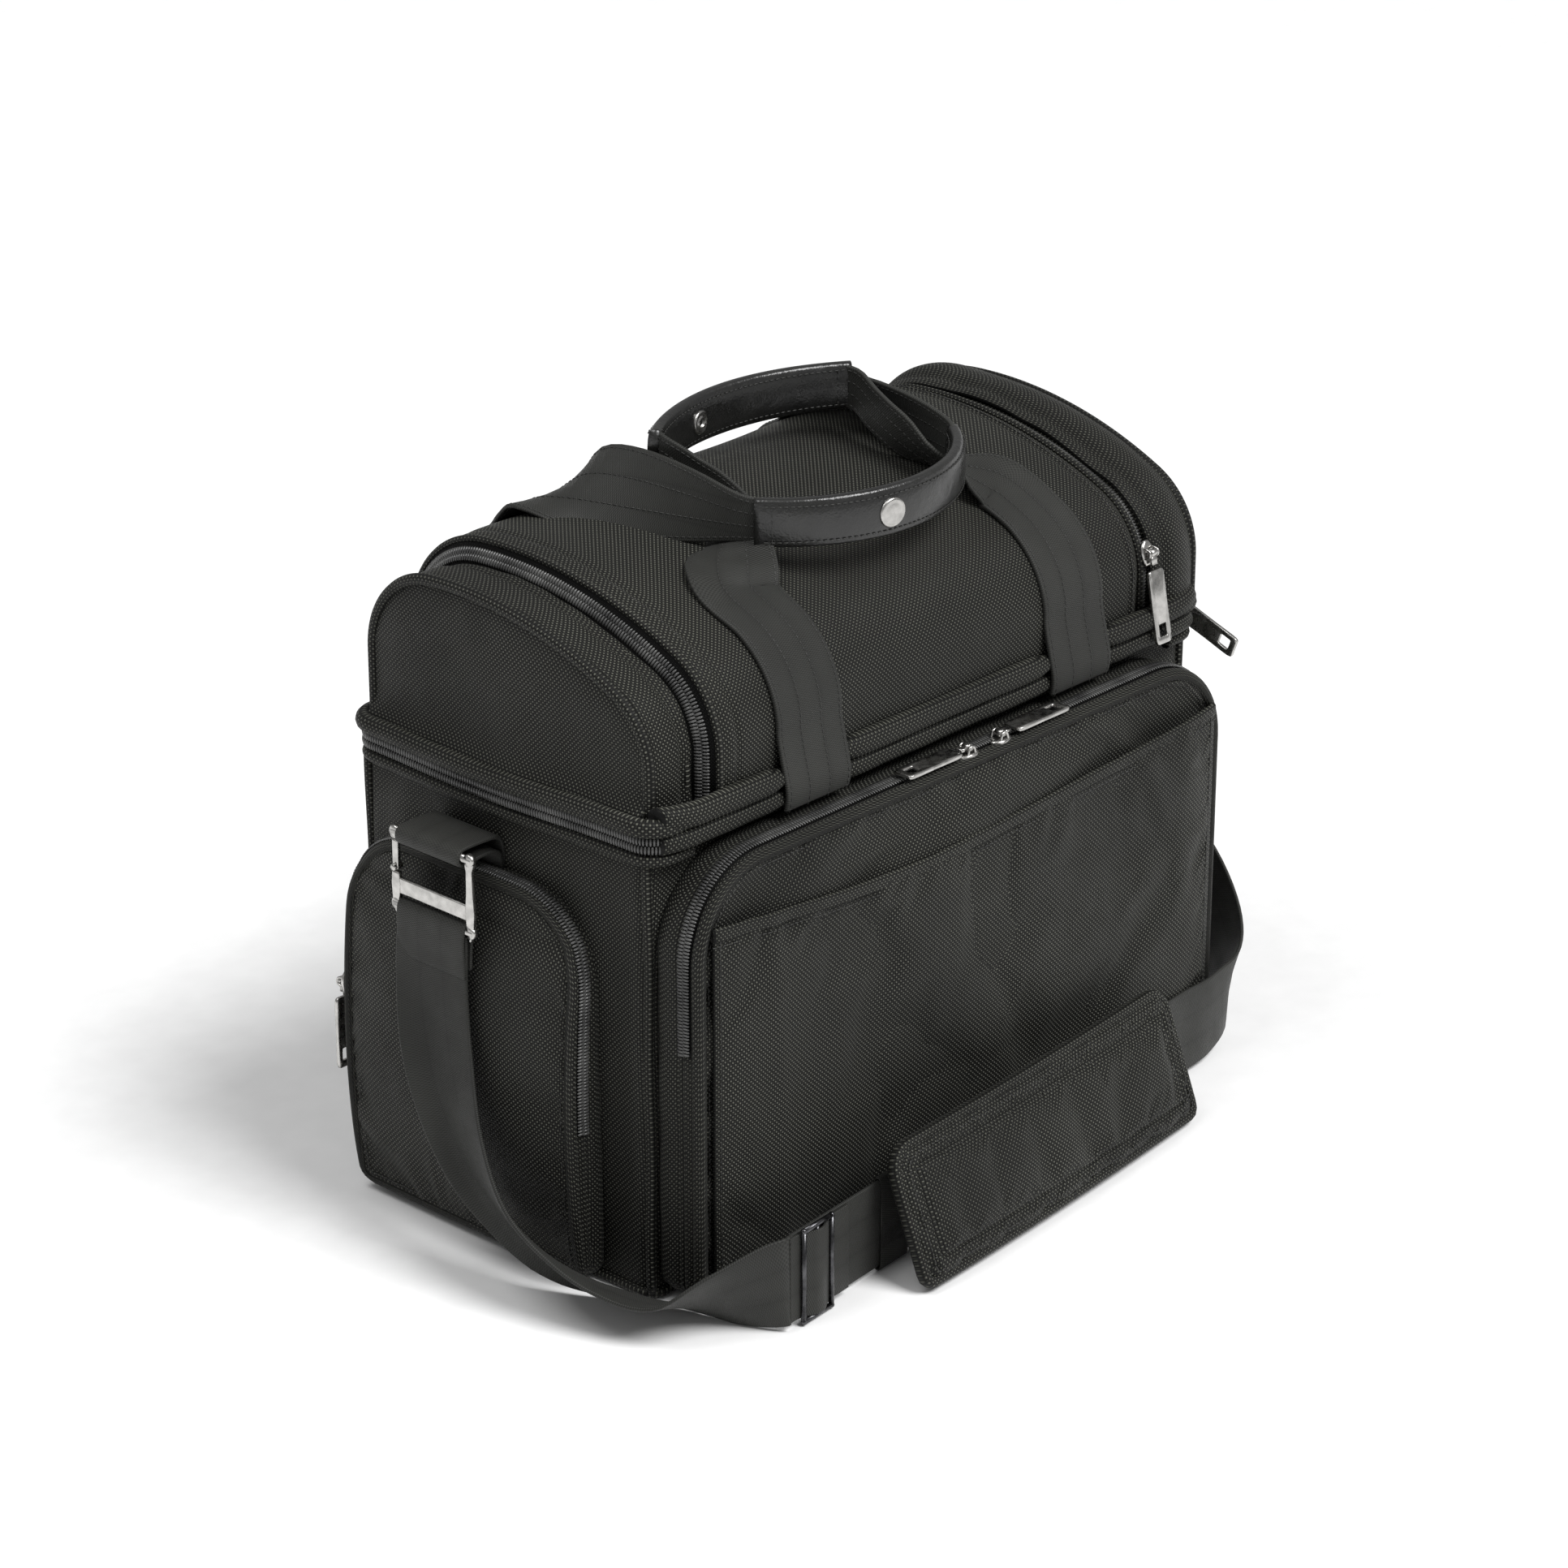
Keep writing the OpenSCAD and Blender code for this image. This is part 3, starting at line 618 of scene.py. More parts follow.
# ----------------------------------------------------------------------- body
def rounded_ring(half_x, half_y, r):
    """Points and outward directions round a rectangle with round corners."""
    points, out = along_arcs([((cx * (half_x - r), cy * (half_y - r)), r, turned(start, start + 90, 7))
                              for cx, cy, start in QUARTERS])
    points, out = resample(points + points[:1], 5.0, out + out[:1])
    return points[:-1], unit(out[:-1])


CORNER_R = 7.0


def body_grid(inset, z_values, soft=1.0):
    ring, out = rounded_ring(HALF_L - inset, HALF_D - inset, CORNER_R)
    rows = []
    for z in z_values:
        rise = z / RIM_Z
        face = np.minimum(HALF_L - np.abs(ring[:, 0]), 30) * (np.abs(out[:, 1]) > 0.9)
        face += np.minimum(HALF_D - np.abs(ring[:, 1]), 30) * (np.abs(out[:, 0]) > 0.9)
        bulge = soft * face / 30 * (2.2 * math.sin(math.pi * rise) + 1.2 * math.sin(2 * math.pi * (1 - rise)))
        folds = soft * 0.9 * np.sin(ring[:, 1] / 5.2 + 1.3 * math.sin(3 * rise)) * (np.abs(out[:, 0]) > 0.9)
        folds *= math.sin(math.pi * min(max(rise, 0), 1)) ** 0.5
        shift = (bulge + folds)[:, None]
        rows.append(at_z(ring + out * shift, z))
    return np.array(rows)


def make_body():
    z_values = np.concatenate([[0.6, 2.0], np.linspace(5, RIM_Z - 1, 36)])
    outer = np.transpose(body_grid(0.8, z_values), (1, 0, 2))
    skin("body_walls", outer, NYLON, 1.6, wrap_rows=True, body="bag",
         replaces=("front_panel", "back_panel", "left_end_panel", "right_end_panel"))
    inner = np.transpose(body_grid(5.8, np.linspace(6, RIM_Z - 1, 12), 0.4), (1, 0, 2))
    skin("body_lining", inner, LINING, 0.8, wrap_rows=True, body="bag", replaces=("main_lining",))
    ring, _ = rounded_ring(HALF_L - 1.2, HALF_D - 1.2, CORNER_R)
    shrink = np.linspace(1, 0.02, 12)
    floor = np.array([at_z(ring * s, 0.9 + 0.4 * (1 - s)) for s in shrink])
    skin("body_bottom", np.transpose(floor, (1, 0, 2)), NYLON, 1.2, wrap_rows=True,
         uv=np.transpose(floor[:, :, :2], (1, 0, 2)), body="bag", replaces=("bottom_panel",))
    heights = np.linspace(4, RIM_Z - 2, 40)
    for k, (sx, sy) in enumerate(((-1, -1), (-1, 1), (1, -1), (1, 1))):
        line = np.column_stack([sx * (HALF_L - 1.8 + 0.5 * np.sin(heights / 17)),
                                np.full(len(heights), sy * (HALF_D - 1.8)), heights])
        tube("corner_piping_%d" % k, line, 2.7, NYLON, up=X, body="bag", slot="piping",
             replaces=("corner_piping",) if k == 0 else ())
    low, _ = rounded_ring(HALF_L, HALF_D, CORNER_R)
    tube("bottom_piping", at_z(low, 3.2), 2.6, NYLON, closed=True,
         body="bag", slot="piping")
    rim, rim_out = rounded_ring(HALF_L - 3, HALF_D - 3, CORNER_R)
    sweep("rim_binding", at_z(rim, RIM_Z - 5), Z, at_z(rim_out, 0.0), soft_rect(11, 7.0, 3.0), NYLON,
          closed=True, body="bag")
    dress("base_board", BOARD)


def dress(node, mat):
    """Gives a CAD piece that stays in view its better material."""
    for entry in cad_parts[node].material_slots:
        entry.material = mat


# -------------------------------------------------------------------- pockets
def corner_drop(edge, r):
    """How far a round corner falls away, at this distance from the edge."""
    return np.where(edge < r, r - np.sqrt(np.maximum(r * r - (r - edge) ** 2, 0)), 0)


class Outline:
    """A rounded outline on a wall. u runs across the wall, w up it and d out
    from it; place turns them into points."""

    def __init__(self, place, span, heights, top_r):
        self.place = place
        self.u0, self.u1 = span
        self.w0, self.w1 = heights
        self.top_r = top_r

    def edge(self, inset=0.0):
        """Points and outward directions round the outline, clockwise from the
        middle of the bottom, in u and w."""
        low_r = 8.0
        foot = ((self.u0 + self.u1) / 2, self.w0 + inset)
        corners = ((self.u0, self.w0, 1, 1, low_r, 270, 180), (self.u0, self.w1, 1, -1, self.top_r, 180, 90),
                   (self.u1, self.w1, -1, -1, self.top_r, 90, 0), (self.u1, self.w0, -1, 1, low_r, 0, -90))
        points, out = along_arcs([((cu + su * r, cw + sw * r), r - inset, turned(first, last, 13))
                                  for cu, cw, su, sw, r, first, last in corners])
        points, out = resample([foot, *points, foot], 3.0, [(0, -1), *out, (0, -1)])
        return points[:-1], unit(out[:-1])

    def at_depth(self, points, d):
        return self.place(points[:, 0], points[:, 1], np.full(len(points), float(d)))

    def rim(self, profile, points, out):
        """The grid that a (depth, out) profile draws round the outline."""
        rows = [self.at_depth(points + b * out, d) for d, b in profile]
        return np.transpose(np.array(rows), (1, 0, 2))

    def frame_at(self, points, out, b, d):
        """Points b outside the outline at depth d, each with its directions
        outward from the wall and outward from the outline."""
        here = self.at_depth(points + b * out, d)
        deeper = self.at_depth(points + b * out, d + 1.0)
        wider = self.at_depth(points + (b + 1) * out, d)
        return here, unit(deeper - here), unit(wider - here)


class Pocket(Outline):
    """A box pocket: gusset, zip, rolled edge and crowned face."""

    def __init__(self, tag, place, span, heights, top_r, depth, zip_ends, slack):
        super().__init__(place, span, heights, top_r)
        self.tag = tag
        self.depth = depth
        self.zip_ends = zip_ends
        self.slack = slack

    def zip_foot(self, points):
        """The height where the zip ends, on each point's own side."""
        return np.where(points[:, 0] < (self.u0 + self.u1) / 2, *self.zip_ends)

    def zip_part(self, points, out):
        keep = points[:, 1] > self.zip_foot(points)
        return points[keep], out[keep]

    def part_below(self, points):
        """Indices of the points below the zip, in one run from end to end."""
        order = np.flatnonzero(points[:, 1] <= self.zip_foot(points) + 3)
        gap = int(np.argmax(np.diff(order)))
        return np.roll(order, -gap - 1)

    def build(self, gusset, zip_node, panel, crown, roll):
        points, out = self.edge()
        gusset_d = self.depth * 0.52
        roll_d = self.depth - roll - 0.6
        zip_d = (gusset_d + roll_d - roll) / 2
        soft = ripple(self.rim([(gusset_d / 2, 0)], points, out)[:, 0], 24, 0.9, 1.7)
        bulged = [(0.2, -1.5), (gusset_d * 0.2, 0.7), (gusset_d * 0.5, 1.5), (gusset_d * 0.8, 0.9),
                  (gusset_d * 0.97, -0.2), (gusset_d, -2.2)]
        grid = self.rim(bulged, points, out)
        wide = self.rim([(d, b + 1) for d, b in bulged], points, out)
        grid = grid + (wide - grid) * soft[:, None, None]
        skin(self.tag + "_gusset", grid, NYLON, 1.2, wrap_rows=True, body="bag", replaces=(gusset,))
        zp, zo = self.zip_part(points, out)
        tape = self.rim([(gusset_d - 2, -0.6), (zip_d, 0.7), (roll_d, -0.6)], zp, zo)
        skin(self.tag + "_zip_tape", tape, TAPE, 0.8, body="bag", replaces=(zip_node,))
        here, deeper, outer = self.frame_at(zp, zo, 2.0, zip_d)
        make_object(self.tag + "_zip_coil", *join_parts(coil_parts(here, deeper, outer)), COIL, body="bag")
        low = self.part_below(points)
        band = self.rim([(gusset_d - 2, -1.0), (zip_d, 0.4), (roll_d, -1.0)], points[low], out[low])
        skin(self.tag + "_lower_band", band, NYLON, 1.2, body="bag")
        for name, d, b, tall, wide in (("_edge_roll", roll_d, -1.6, 1.05, 1.0),
                                       ("_gusset_roll", gusset_d + 0.3, -0.6, 0.5, 0.5)):
            section = circle(roll, 12) * (tall, wide) + (d, b)
            grid = self.rim(section, points, out)
            make_object(self.tag + name, grid.reshape(-1, 3), grid_faces(*grid.shape[:2], True, True),
                        NYLON, grid_uv(grid), body="bag")
        face, flat = self.face(4.2, roll_d + 0.5, crown)
        obj = skin(self.tag + "_face", face, NYLON, 1.6, uv=flat, body="bag", replaces=(panel,))
        puff(obj, pinned_border(*face.shape[:2]), pressure=self.slack, cap=4.0)
        sp, so = self.edge(inset=7.0)
        here, deeper, outer = self.frame_at(sp, so, 0, roll_d + 1.6)
        make_object(self.tag + "_stitches", *stitches(here, outer, deeper), THREAD, body="bag", slot="nylon")

    def face(self, inset, depth, crown):
        """Columns from the bottom edge up to the rounded top edge, as a grid
        in space and the same grid laid flat."""
        nu, nw = 90, 54
        r = self.top_r - inset
        u = np.linspace(-1, 1, nu)
        u = (self.u0 + self.u1) / 2 + (self.u1 - self.u0 - 2 * inset) / 2 * np.sin(u * math.pi / 2)
        edge = np.minimum(u - self.u0 - inset, self.u1 - inset - u)
        top = self.w1 - inset - corner_drop(edge, r)
        t = np.sin(np.linspace(-1, 1, nw) * math.pi / 2) / 2 + 0.5
        w = (self.w0 + inset) + t[None, :] * (top - self.w0 - inset)[:, None]
        uu = np.repeat(u[:, None], nw, 1)
        rim = np.minimum(np.minimum(edge[:, None], w - self.w0 - inset), (top[:, None] - w) * 1.2)
        fill = filled(rim, 16)
        d = depth + crown * fill + 0.9 * fill * ripple(in_plane(uu, w), 55, 1.0, 5.3) * 2
        return self.place(uu, w, d), np.stack([uu, w], -1)


def make_front_pocket():
    def place(u, w, d):
        rise = np.clip((w - 215) / 40, 0, 1)
        return np.stack([u, -HALF_D - d * (1 - 0.05 * rise), w], -1)

    pocket = Pocket("front_pocket", place, (FRONT_LOW[0], FRONT_HIGH[0]), (FRONT_LOW[2], FRONT_HIGH[2]),
                    48.0, FRONT_DEPTH, (146.0, 146.0), 0.6)
    pocket.build("front_pocket_gusset", "front_pocket_zip", "front_pocket_panel", 1.6, 3.6)
    make_slip(place)


def hem_height(u):
    """The slip pocket's hem: it sags in the middle and lifts at the ends."""
    high = box_mm("front_slip_panel")[1]
    return high[2] + 1 + 9 * (u / high[0]) ** 2 - 4 * hump(u, -50, 70)


def make_slip(place):
    """The open slip pocket on the front pocket's face, with its folds and hem."""
    low, high = box_mm("front_slip_panel")
    nu, nw = 110, 60
    u = np.linspace(low[0] + 1, high[0] - 1, nu)
    hem = hem_height(u)
    t = np.linspace(0, 1, nw)
    w = low[2] + t[None, :] * (hem - low[2])[:, None]
    uu = np.repeat(u[:, None], nw, 1)
    edge = np.minimum(uu - low[0], high[0] - uu)
    fill = filled(np.minimum(edge, w - low[2]), 14)
    folds = 1.7 * hump(uu, -150 - 8 * t, 7) * t ** 0.5
    folds += 1.1 * hump(uu, -118 + 12 * t, 11) * (1 - t)
    folds += 1.5 * hump(uu, 20 - 60 * t, 26) * t ** 2
    folds += 0.4 * hump(uu, 168, 9) * t
    d = FRONT_DEPTH + 0.6 + 2.2 * fill + folds + 1.3 * fill * ripple(in_plane(uu, w), 70, 1.0, 9.1)
    obj = skin("slip_pocket", place(uu, w, d), NYLON, 1.6, uv=np.stack([uu, w], -1), body="bag",
               replaces=("front_slip_panel",))
    puff(obj, pinned_border(nu, nw, last=1), pressure=0.5, cap=3.0)
    top = place(u, hem, d[:, -1])
    sweep("slip_hem", top - 2.5 * Z, Z, -Y, soft_rect(7, 3.4, 1.6), NYLON, body="bag")
    line = place(u, hem - 8.5, d[:, -6] + 0.95)
    parts = [stitches(line, Z, -Y)]
    for edge_u in (low[0] + 4, high[0] - 4):
        k = int(np.argmin(np.abs(u - edge_u)))
        column = place(uu[k], w[k], d[k] + 0.95)
        parts.append(stitches(column, X, -Y))
    make_object("slip_stitches", *join_parts(parts), THREAD, body="bag", slot="nylon")


def make_end_pocket(side):
    tag = side_name(side)

    def place(u, w, d):
        middle = np.clip((w - SIDE_LOW[2]) / (SIDE_HIGH[2] - SIDE_LOW[2]), 0, 1)
        full = 0.62 + 0.38 * np.sin(np.clip(middle * 1.12, 0, 1) * math.pi) ** 0.6
        return np.stack([side * (HALF_L + d * full), u, w], -1)

    pocket = Pocket(tag + "_pocket", place, (SIDE_LOW[1], SIDE_HIGH[1]), (SIDE_LOW[2], SIDE_HIGH[2]),
                    45.0, SIDE_DEPTH, (90.0, 60.0), 1.2)
    pocket.build(tag + "_pocket_gusset", tag + "_pocket_zip", tag + "_pocket_panel", 2.2, 3.2)


# ------------------------------------------------------------------------ lid
def crown_frame():
    """The crown's centre and the two angles where it meets the shoulders."""
    span = BACK_SHOULDER - FRONT_SHOULDER
    reach, back_reach = CROWN_R - FRONT_R, CROWN_R - BACK_R
    gap = math.hypot(*span)
    corner = math.acos((gap ** 2 + reach ** 2 - back_reach ** 2) / (2 * gap * reach))
    turn = math.atan2(span[1], span[0]) - corner
    centre = FRONT_SHOULDER + reach * np.array([math.cos(turn), math.sin(turn)])
    to_back = BACK_SHOULDER - centre
    return centre, turn + math.pi, math.atan2(to_back[1], to_back[0])


def lid_curve(out=0.0):
    """Points and outward directions of the lid's section in Y and Z, from the
    front foot over the crown to the back foot."""
    crown, front_angle, back_angle = crown_frame()
    points, normals = along_arcs([(FRONT_SHOULDER, FRONT_R + out, np.linspace(math.pi, front_angle, 24)),
                                  (crown, CROWN_R + out, np.linspace(front_angle, back_angle, 24)),
                                  (BACK_SHOULDER, BACK_R + out, np.linspace(back_angle, 0, 24))])
    points, normals = resample([(-LID_Y - out, LID_BASE), *points, (LID_Y + out, LID_BASE)], 3.0,
                               [(-1, 0), *normals, (1, 0)])
    return points, unit(normals)


def dome(x_values, lift):
    """The lid's section repeated along X, each raised by lift(x)."""
    points, normals = lid_curve()
    grid = np.array([at_x(x, points + lift(x) * normals) for x in x_values])
    return grid, at_x(0.0, normals)


def roughen(grid, out, size, amount, seed):
    return grid + ripple(grid, size, amount, seed)[..., None] * out[None]


EDGE_DROP = 4.6
LEFT_EDGE_DROP = 1.8


def center_lift(x):
    """The centre stands a little proud and rolls down to the arch zips."""
    edge = max(SHELL_X - 1 - abs(x), 0)
    drop = EDGE_DROP if x > 0 else LEFT_EDGE_DROP
    return 1.6 - drop * hump(edge, 0, 6.0) - 1.2 * hump(edge, 12, 2.2)


def make_center():
    x_values = np.concatenate([np.linspace(-SHELL_X + 0.5, -SHELL_X + 26, 20)[:-1],
                               np.linspace(-SHELL_X + 26, SHELL_X - 26, 60),
                               np.linspace(SHELL_X - 26, SHELL_X - 0.5, 20)[1:]])
    grid, out = dome(x_values, center_lift)
    grid = roughen(grid, out, 60, 1.2, 2.2)
    skin("lid_center", grid, NYLON, 1.6, body="lid", replaces=("lid_center_shell",))
    inner, _ = dome(np.linspace(-END_X + 9, END_X - 9, 60),
                    lambda x: -6.0 - 9.0 * min(max((abs(x) - SHELL_X + 14) / 10, 0), 1))
    skin("lid_lining", inner, LINING, 0.8, body="lid")
    parts = []
    for side in (-1, 1):
        x = side * (SHELL_X - 10.5)
        line, normal = lid_curve(center_lift(x) + 1.0)
        parts.append(stitches(at_x(x, line), X, at_x(0.0, normal)))
        edge, _ = lid_curve(center_lift(side * SHELL_X) + 1.4)
        tube("center_piping_" + side_name(side),
             at_x(side * (SHELL_X - 0.4), edge), 1.9, NYLON, up=X, body="lid")
    make_object("center_stitches", *join_parts(parts), THREAD, body="lid", slot="nylon")


def make_cap(side):
    tag = side_name(side)
    rise = 9.0 if side > 0 else 2.4
    low = -6.4 if side > 0 else -12.5
    high = center_lift(side * SHELL_X) + 0.4
    x_end = CAP_X1 + (2.0 if side > 0 else -5.0)

    def lift(x):
        middle = min(max((abs(x) - CAP_X0) / (x_end - CAP_X0), 0), 1)
        puffed = math.sin(math.pi * (0.1 + 0.85 * middle)) ** 0.7
        return low + (rise + 1.5) * puffed - 2.4 * hump(middle, 0.22, 0.09)

    x_values = side * np.linspace(CAP_X0 - 0.5, x_end + 1.0, 26)
    grid, out = dome(x_values, lift)
    pucker = 1.5 * hump(np.abs(grid[..., 0]), CAP_X0 + 6, 7)
    grid = roughen(grid, out, 38, 1.8, 4.4 + side)
    grid = grid + (pucker * ripple(grid, 16, 1.0, 2.9 + side))[..., None] * out[None]
    skin("lid_cap_" + tag, grid, NYLON, 1.6, body="lid", replaces=("lid_%s_cap" % tag,))
    tape, _ = dome(side * np.linspace(SHELL_X - 1, CAP_X0 + 1, 7),
                   lambda x: high + (low - high) * (abs(x) - SHELL_X) / (CAP_X0 - SHELL_X))
    skin("arch_tape_" + tag, tape, TAPE, 0.8, body="lid", replaces=(tag + "_arch_zip",))
    tilt = math.atan2(high - low, CAP_X0 - SHELL_X)
    line, normal = lid_curve((low + high) / 2 + 1.3 * math.cos(tilt))
    out3 = at_x(side * math.sin(tilt), normal * math.cos(tilt))
    across = at_x(side * math.cos(tilt), -normal * math.sin(tilt))
    path = at_x(side * (ARCH_X + 1.3 * math.sin(tilt)), line)
    make_object("arch_coil_" + tag, *join_parts(coil_parts(path, across, out3)), COIL, body="lid")
    edge, _ = lid_curve(low + 0.2)
    tube("cap_hem_" + tag, at_x(side * (CAP_X0 + 2.0), edge), 2.2, NYLON, up=X, body="lid")
    make_lid_end(side, tag, x_end, low + 2.2)


def make_lid_end(side, tag, x_end, drop):
    """The lid's upright end, from its foot up to the cap's piping."""
    y, top = lid_curve(drop)[0].T
    feet = LID_BASE + 0.5
    keep = top > feet + 0.5
    y, top = y[keep], top[keep]
    t = np.linspace(0, 1, 30)
    z = feet + t[None] * (top - feet)[:, None]
    yy = np.repeat(y[:, None], 30, 1)
    edge = np.minimum(LID_Y - 4 - np.abs(yy), np.minimum((top[:, None] - z), z - feet + 4))
    bulge, reach = (9.0, 22) if side > 0 else (4.0, 14)
    fill = filled(edge, reach)
    skirt = hump(z, feet, 9)
    x = side * (x_end + bulge * fill + 2.2 * fill * ripple(in_plane(yy, z), 45, 1.0, 7.7 + side)
                + (END_X - 0.5 - x_end) * skirt)
    obj = skin("lid_end_" + tag, np.stack([x, yy, z], -1), NYLON, 1.6, uv=np.stack([yy, z], -1),
               body="lid", replaces=("lid_%s_end" % tag,))
    puff(obj, pinned_border(*z.shape), pressure=1.0, cap=4.0)
    path, _ = lid_curve(drop + 0.6)
    tube("end_piping_" + tag, at_x(side * (x_end + 1.2), path), 3.2, NYLON, up=X, body="lid")


def zip_ring(out, z):
    """The lid zip's path: left end, back and right end, with its directions."""
    r = 14.0
    x, y, front = ZIP_X + out, ZIP_Y + out, LID_Y + 1.5 + out
    corners = ((-1, -front + r, 270), (-1, y - r, 180), (1, y - r, 90), (1, -front + r, 0))
    points, normals = along_arcs([((cx * (x - r), cy), r, turned(first, first - 90, 10))
                                  for cx, cy, first in corners])
    points, normals = resample([(-x + r + 12, -front), *points, (x - r - 12, -front)], 3.0,
                               [(0, -1), *normals, (0, -1)])
    normals = unit(normals)
    sag = -3.0 * hump(points[:, 1], 10, 60) * (np.abs(normals[:, 0]) > 0.5)
    path = np.column_stack([points, z + sag])
    return path, at_z(normals, 0.0)


def make_lid_zip():
    for tag, body, z0, z1, node in (("lower", "bag", RIM_Z - 1, ZIP_Z - 0.4, "lid_zip_lower"),
                                    ("upper", "lid", ZIP_Z + 0.4, LID_BASE + 1, "lid_zip_upper")):
        rows = [zip_ring(-1.0, z)[0] for z in np.linspace(z0, z1, 4)]
        skin("lid_zip_tape_" + tag, np.transpose(np.array(rows), (1, 0, 2)), TAPE, 0.8, body=body,
             replaces=(node,))
        sign = -1 if tag == "lower" else 1
        path, out = zip_ring(0.6, ZIP_Z + sign * 0.5)
        teeth = scatter(path, Z, out, TOOTH_PITCH, TEETH[0 if sign < 0 else 1], 0.0 if sign < 0 else 0.5)
        make_object("lid_zip_coil_" + tag, *teeth, COIL, body=body)
    for tag, body, z, r, out in (("lid_edge_roll", "lid", LID_BASE + 3.2, 5.0, 0.2),
                                 ("rim_roll", "bag", RIM_Z - 2.6, 3.4, -1.0)):
        path, outward = zip_ring(out, z)
        wobble = 1 + ripple(path, 30, 0.10, 6.0)
        profile = circle(r, 12)[None] * wobble[:, None, None]
        sweep(tag, path, Z, outward, profile, NYLON, body=body)


def make_front_rolls():
    """The two padded rolls along the lid's front, and the hinge cloth under them."""
    low, high = box_mm("lid_front_roll")
    mid_y = (low[1] + high[1]) / 2
    r = (high[1] - low[1]) / 2 + 0.3
    for k, (z, fat) in enumerate(((low[2] + r - 1.4, 1.2), (high[2] - r + 2.0, 1.5))):
        x = np.linspace(-HALF_L + 3, HALF_L - 3, 120)
        ends = np.clip((np.abs(x) - HALF_L + 26) / 24, 0, 1)
        path = np.column_stack([x, mid_y + 6.5 * ends ** 2, np.full(120, z) - 1.5 * ends * (1 - 2 * k)])
        pressed = np.exp(-((np.abs(x) - STRAP_X) / (WEB_W / 2 + 2)) ** 6)
        full = fat + (0.92 - fat) * pressed + ripple(path, 26, 0.16, 3.3 + k) * (1 - pressed)
        profile = circle(r, 14)[None] * full[:, None, None]
        sweep("front_roll_%d" % k, path, Z, Y, profile, NYLON,
              body="lid", replaces=("lid_front_roll",) if k == 0 else ())
    x = np.linspace(-HALF_L + 2, HALF_L - 2, 80)
    rows = [np.column_stack([x, np.full(80, y), np.full(80, z)]) for y, z in
            ((-HALF_D + 1, RIM_Z - 6), (-HALF_D - 1.5, RIM_Z), (-LID_Y + 1.5, RIM_Z + 6),
             (-LID_Y + 1.5, LID_BASE + 4))]
    hinge = skin("hinge_cloth", np.array(rows), NYLON, 1.4, body=None)
    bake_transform(hinge)


# -------------------------------------------------------------------- webbing
def curled(section, curl, fold):
    """The section bent lengthwise: the part past side = fold turns by curl."""
    across, off = section.T
    soft = 2.5
    past = np.log1p(np.exp((across - fold) / soft)) * soft
    turn = curl / (1 + np.exp(-(across - fold) / soft))
    return np.stack([across - past * (1 - math.cos(curl)) - off * np.sin(turn),
                     past * math.sin(curl) + off * np.cos(turn)], -1)


def webbing(name, path, side, widths, thick, curls=0.0, **rest):
    """A band of webbing along a path; side runs across its width."""
    path = np.asarray(path, float)
    along = tangents(path)
    side = along_path(side, path)
    side = unit(side - along * (side * along).sum(1, keepdims=True))
    out = np.cross(along, side)
    widths = np.broadcast_to(widths, (len(path),))
    curls = np.broadcast_to(curls, (len(path),))
    profile = np.array([curled(soft_rect(w, thick, thick / 2 * 0.9), c, w / 4)
                        for w, c in zip(widths, curls)])
    obj = sweep(name, path, side, out, profile, WEBBING, **rest)
    return obj, side, out


def sewn_rows(path, side, out, widths, shares, lift):
    """Rows of stitches along both faces, at shares of the half width."""
    parts = []
    half = np.broadcast_to(widths, (len(path),))[:, None] / 2 - 2.5
    for share in shares:
        for face in (-1, 1):
            parts.append(stitches(path + side * half * share + out * face * lift, side, out * face))
    return join_parts(parts)


def strap_up_lid(front):
    """Y and Z of the strap's way up the lid, from its sewn foot."""
    points, _ = lid_curve(4.0)
    if front:
        roll = box_mm("lid_front_roll")[0][1]
        foot = [(roll - 0.6, 251.5), (roll - 1.8, 256), (roll - 2.0, 262), (roll - 0.4, 269.5)]
        rise = points[(points[:, 0] < -74) & (points[:, 1] > 288)]
        return np.concatenate([foot, rise[::3]])
    rise = points[(points[:, 0] > 88) & (points[:, 1] > LID_BASE + 3)][::-1]
    return rise[::3]


# The webbing's way from the lid to each grip, on the +X side: place, width
# direction and width. The front grip's webbing comes from the back.
LEGS = {
    "front": (((103, 81, 358.5), (0.95, 0.25, -0.1), 51), ((102, 70, 366.5), (0.84, 0.42, -0.28), 54),
              ((99, 50, 374.5), (0.74, 0.3, -0.55), 54), ((94, 22, 377), (0.6, 0.2, -0.75), 49),
              ((87, -12, 377), (0.35, 0.1, -0.93), 38), ((79.5, -41, 376), (0, 0, -1), 26),
              ((74, -51, 375.5), (0, 0, -1), 24)),
    "back": (((103, -66, 346.5), (1, 0, 0), 50), ((100, -57, 350.5), (1, 0, 0), 50),
             ((89, -46, 356.5), (0.95, 0, -0.3), 46), ((75, -34, 365.5), (0.7, 0, -0.7), 35),
             ((69, -17, 377), (0.2, 0, -1), 28), ((70, 0, 384.5), (0, 0, -1), 25),
             ((73, 15, 391.3), (0, 0, -1), 24), ((71, 24, 393), (0, 0, -1), 24)),
}
LEG_NODES = {"front": ("front_handle_webbing",), "back": ("lid_straps", "back_handle_webbing")}


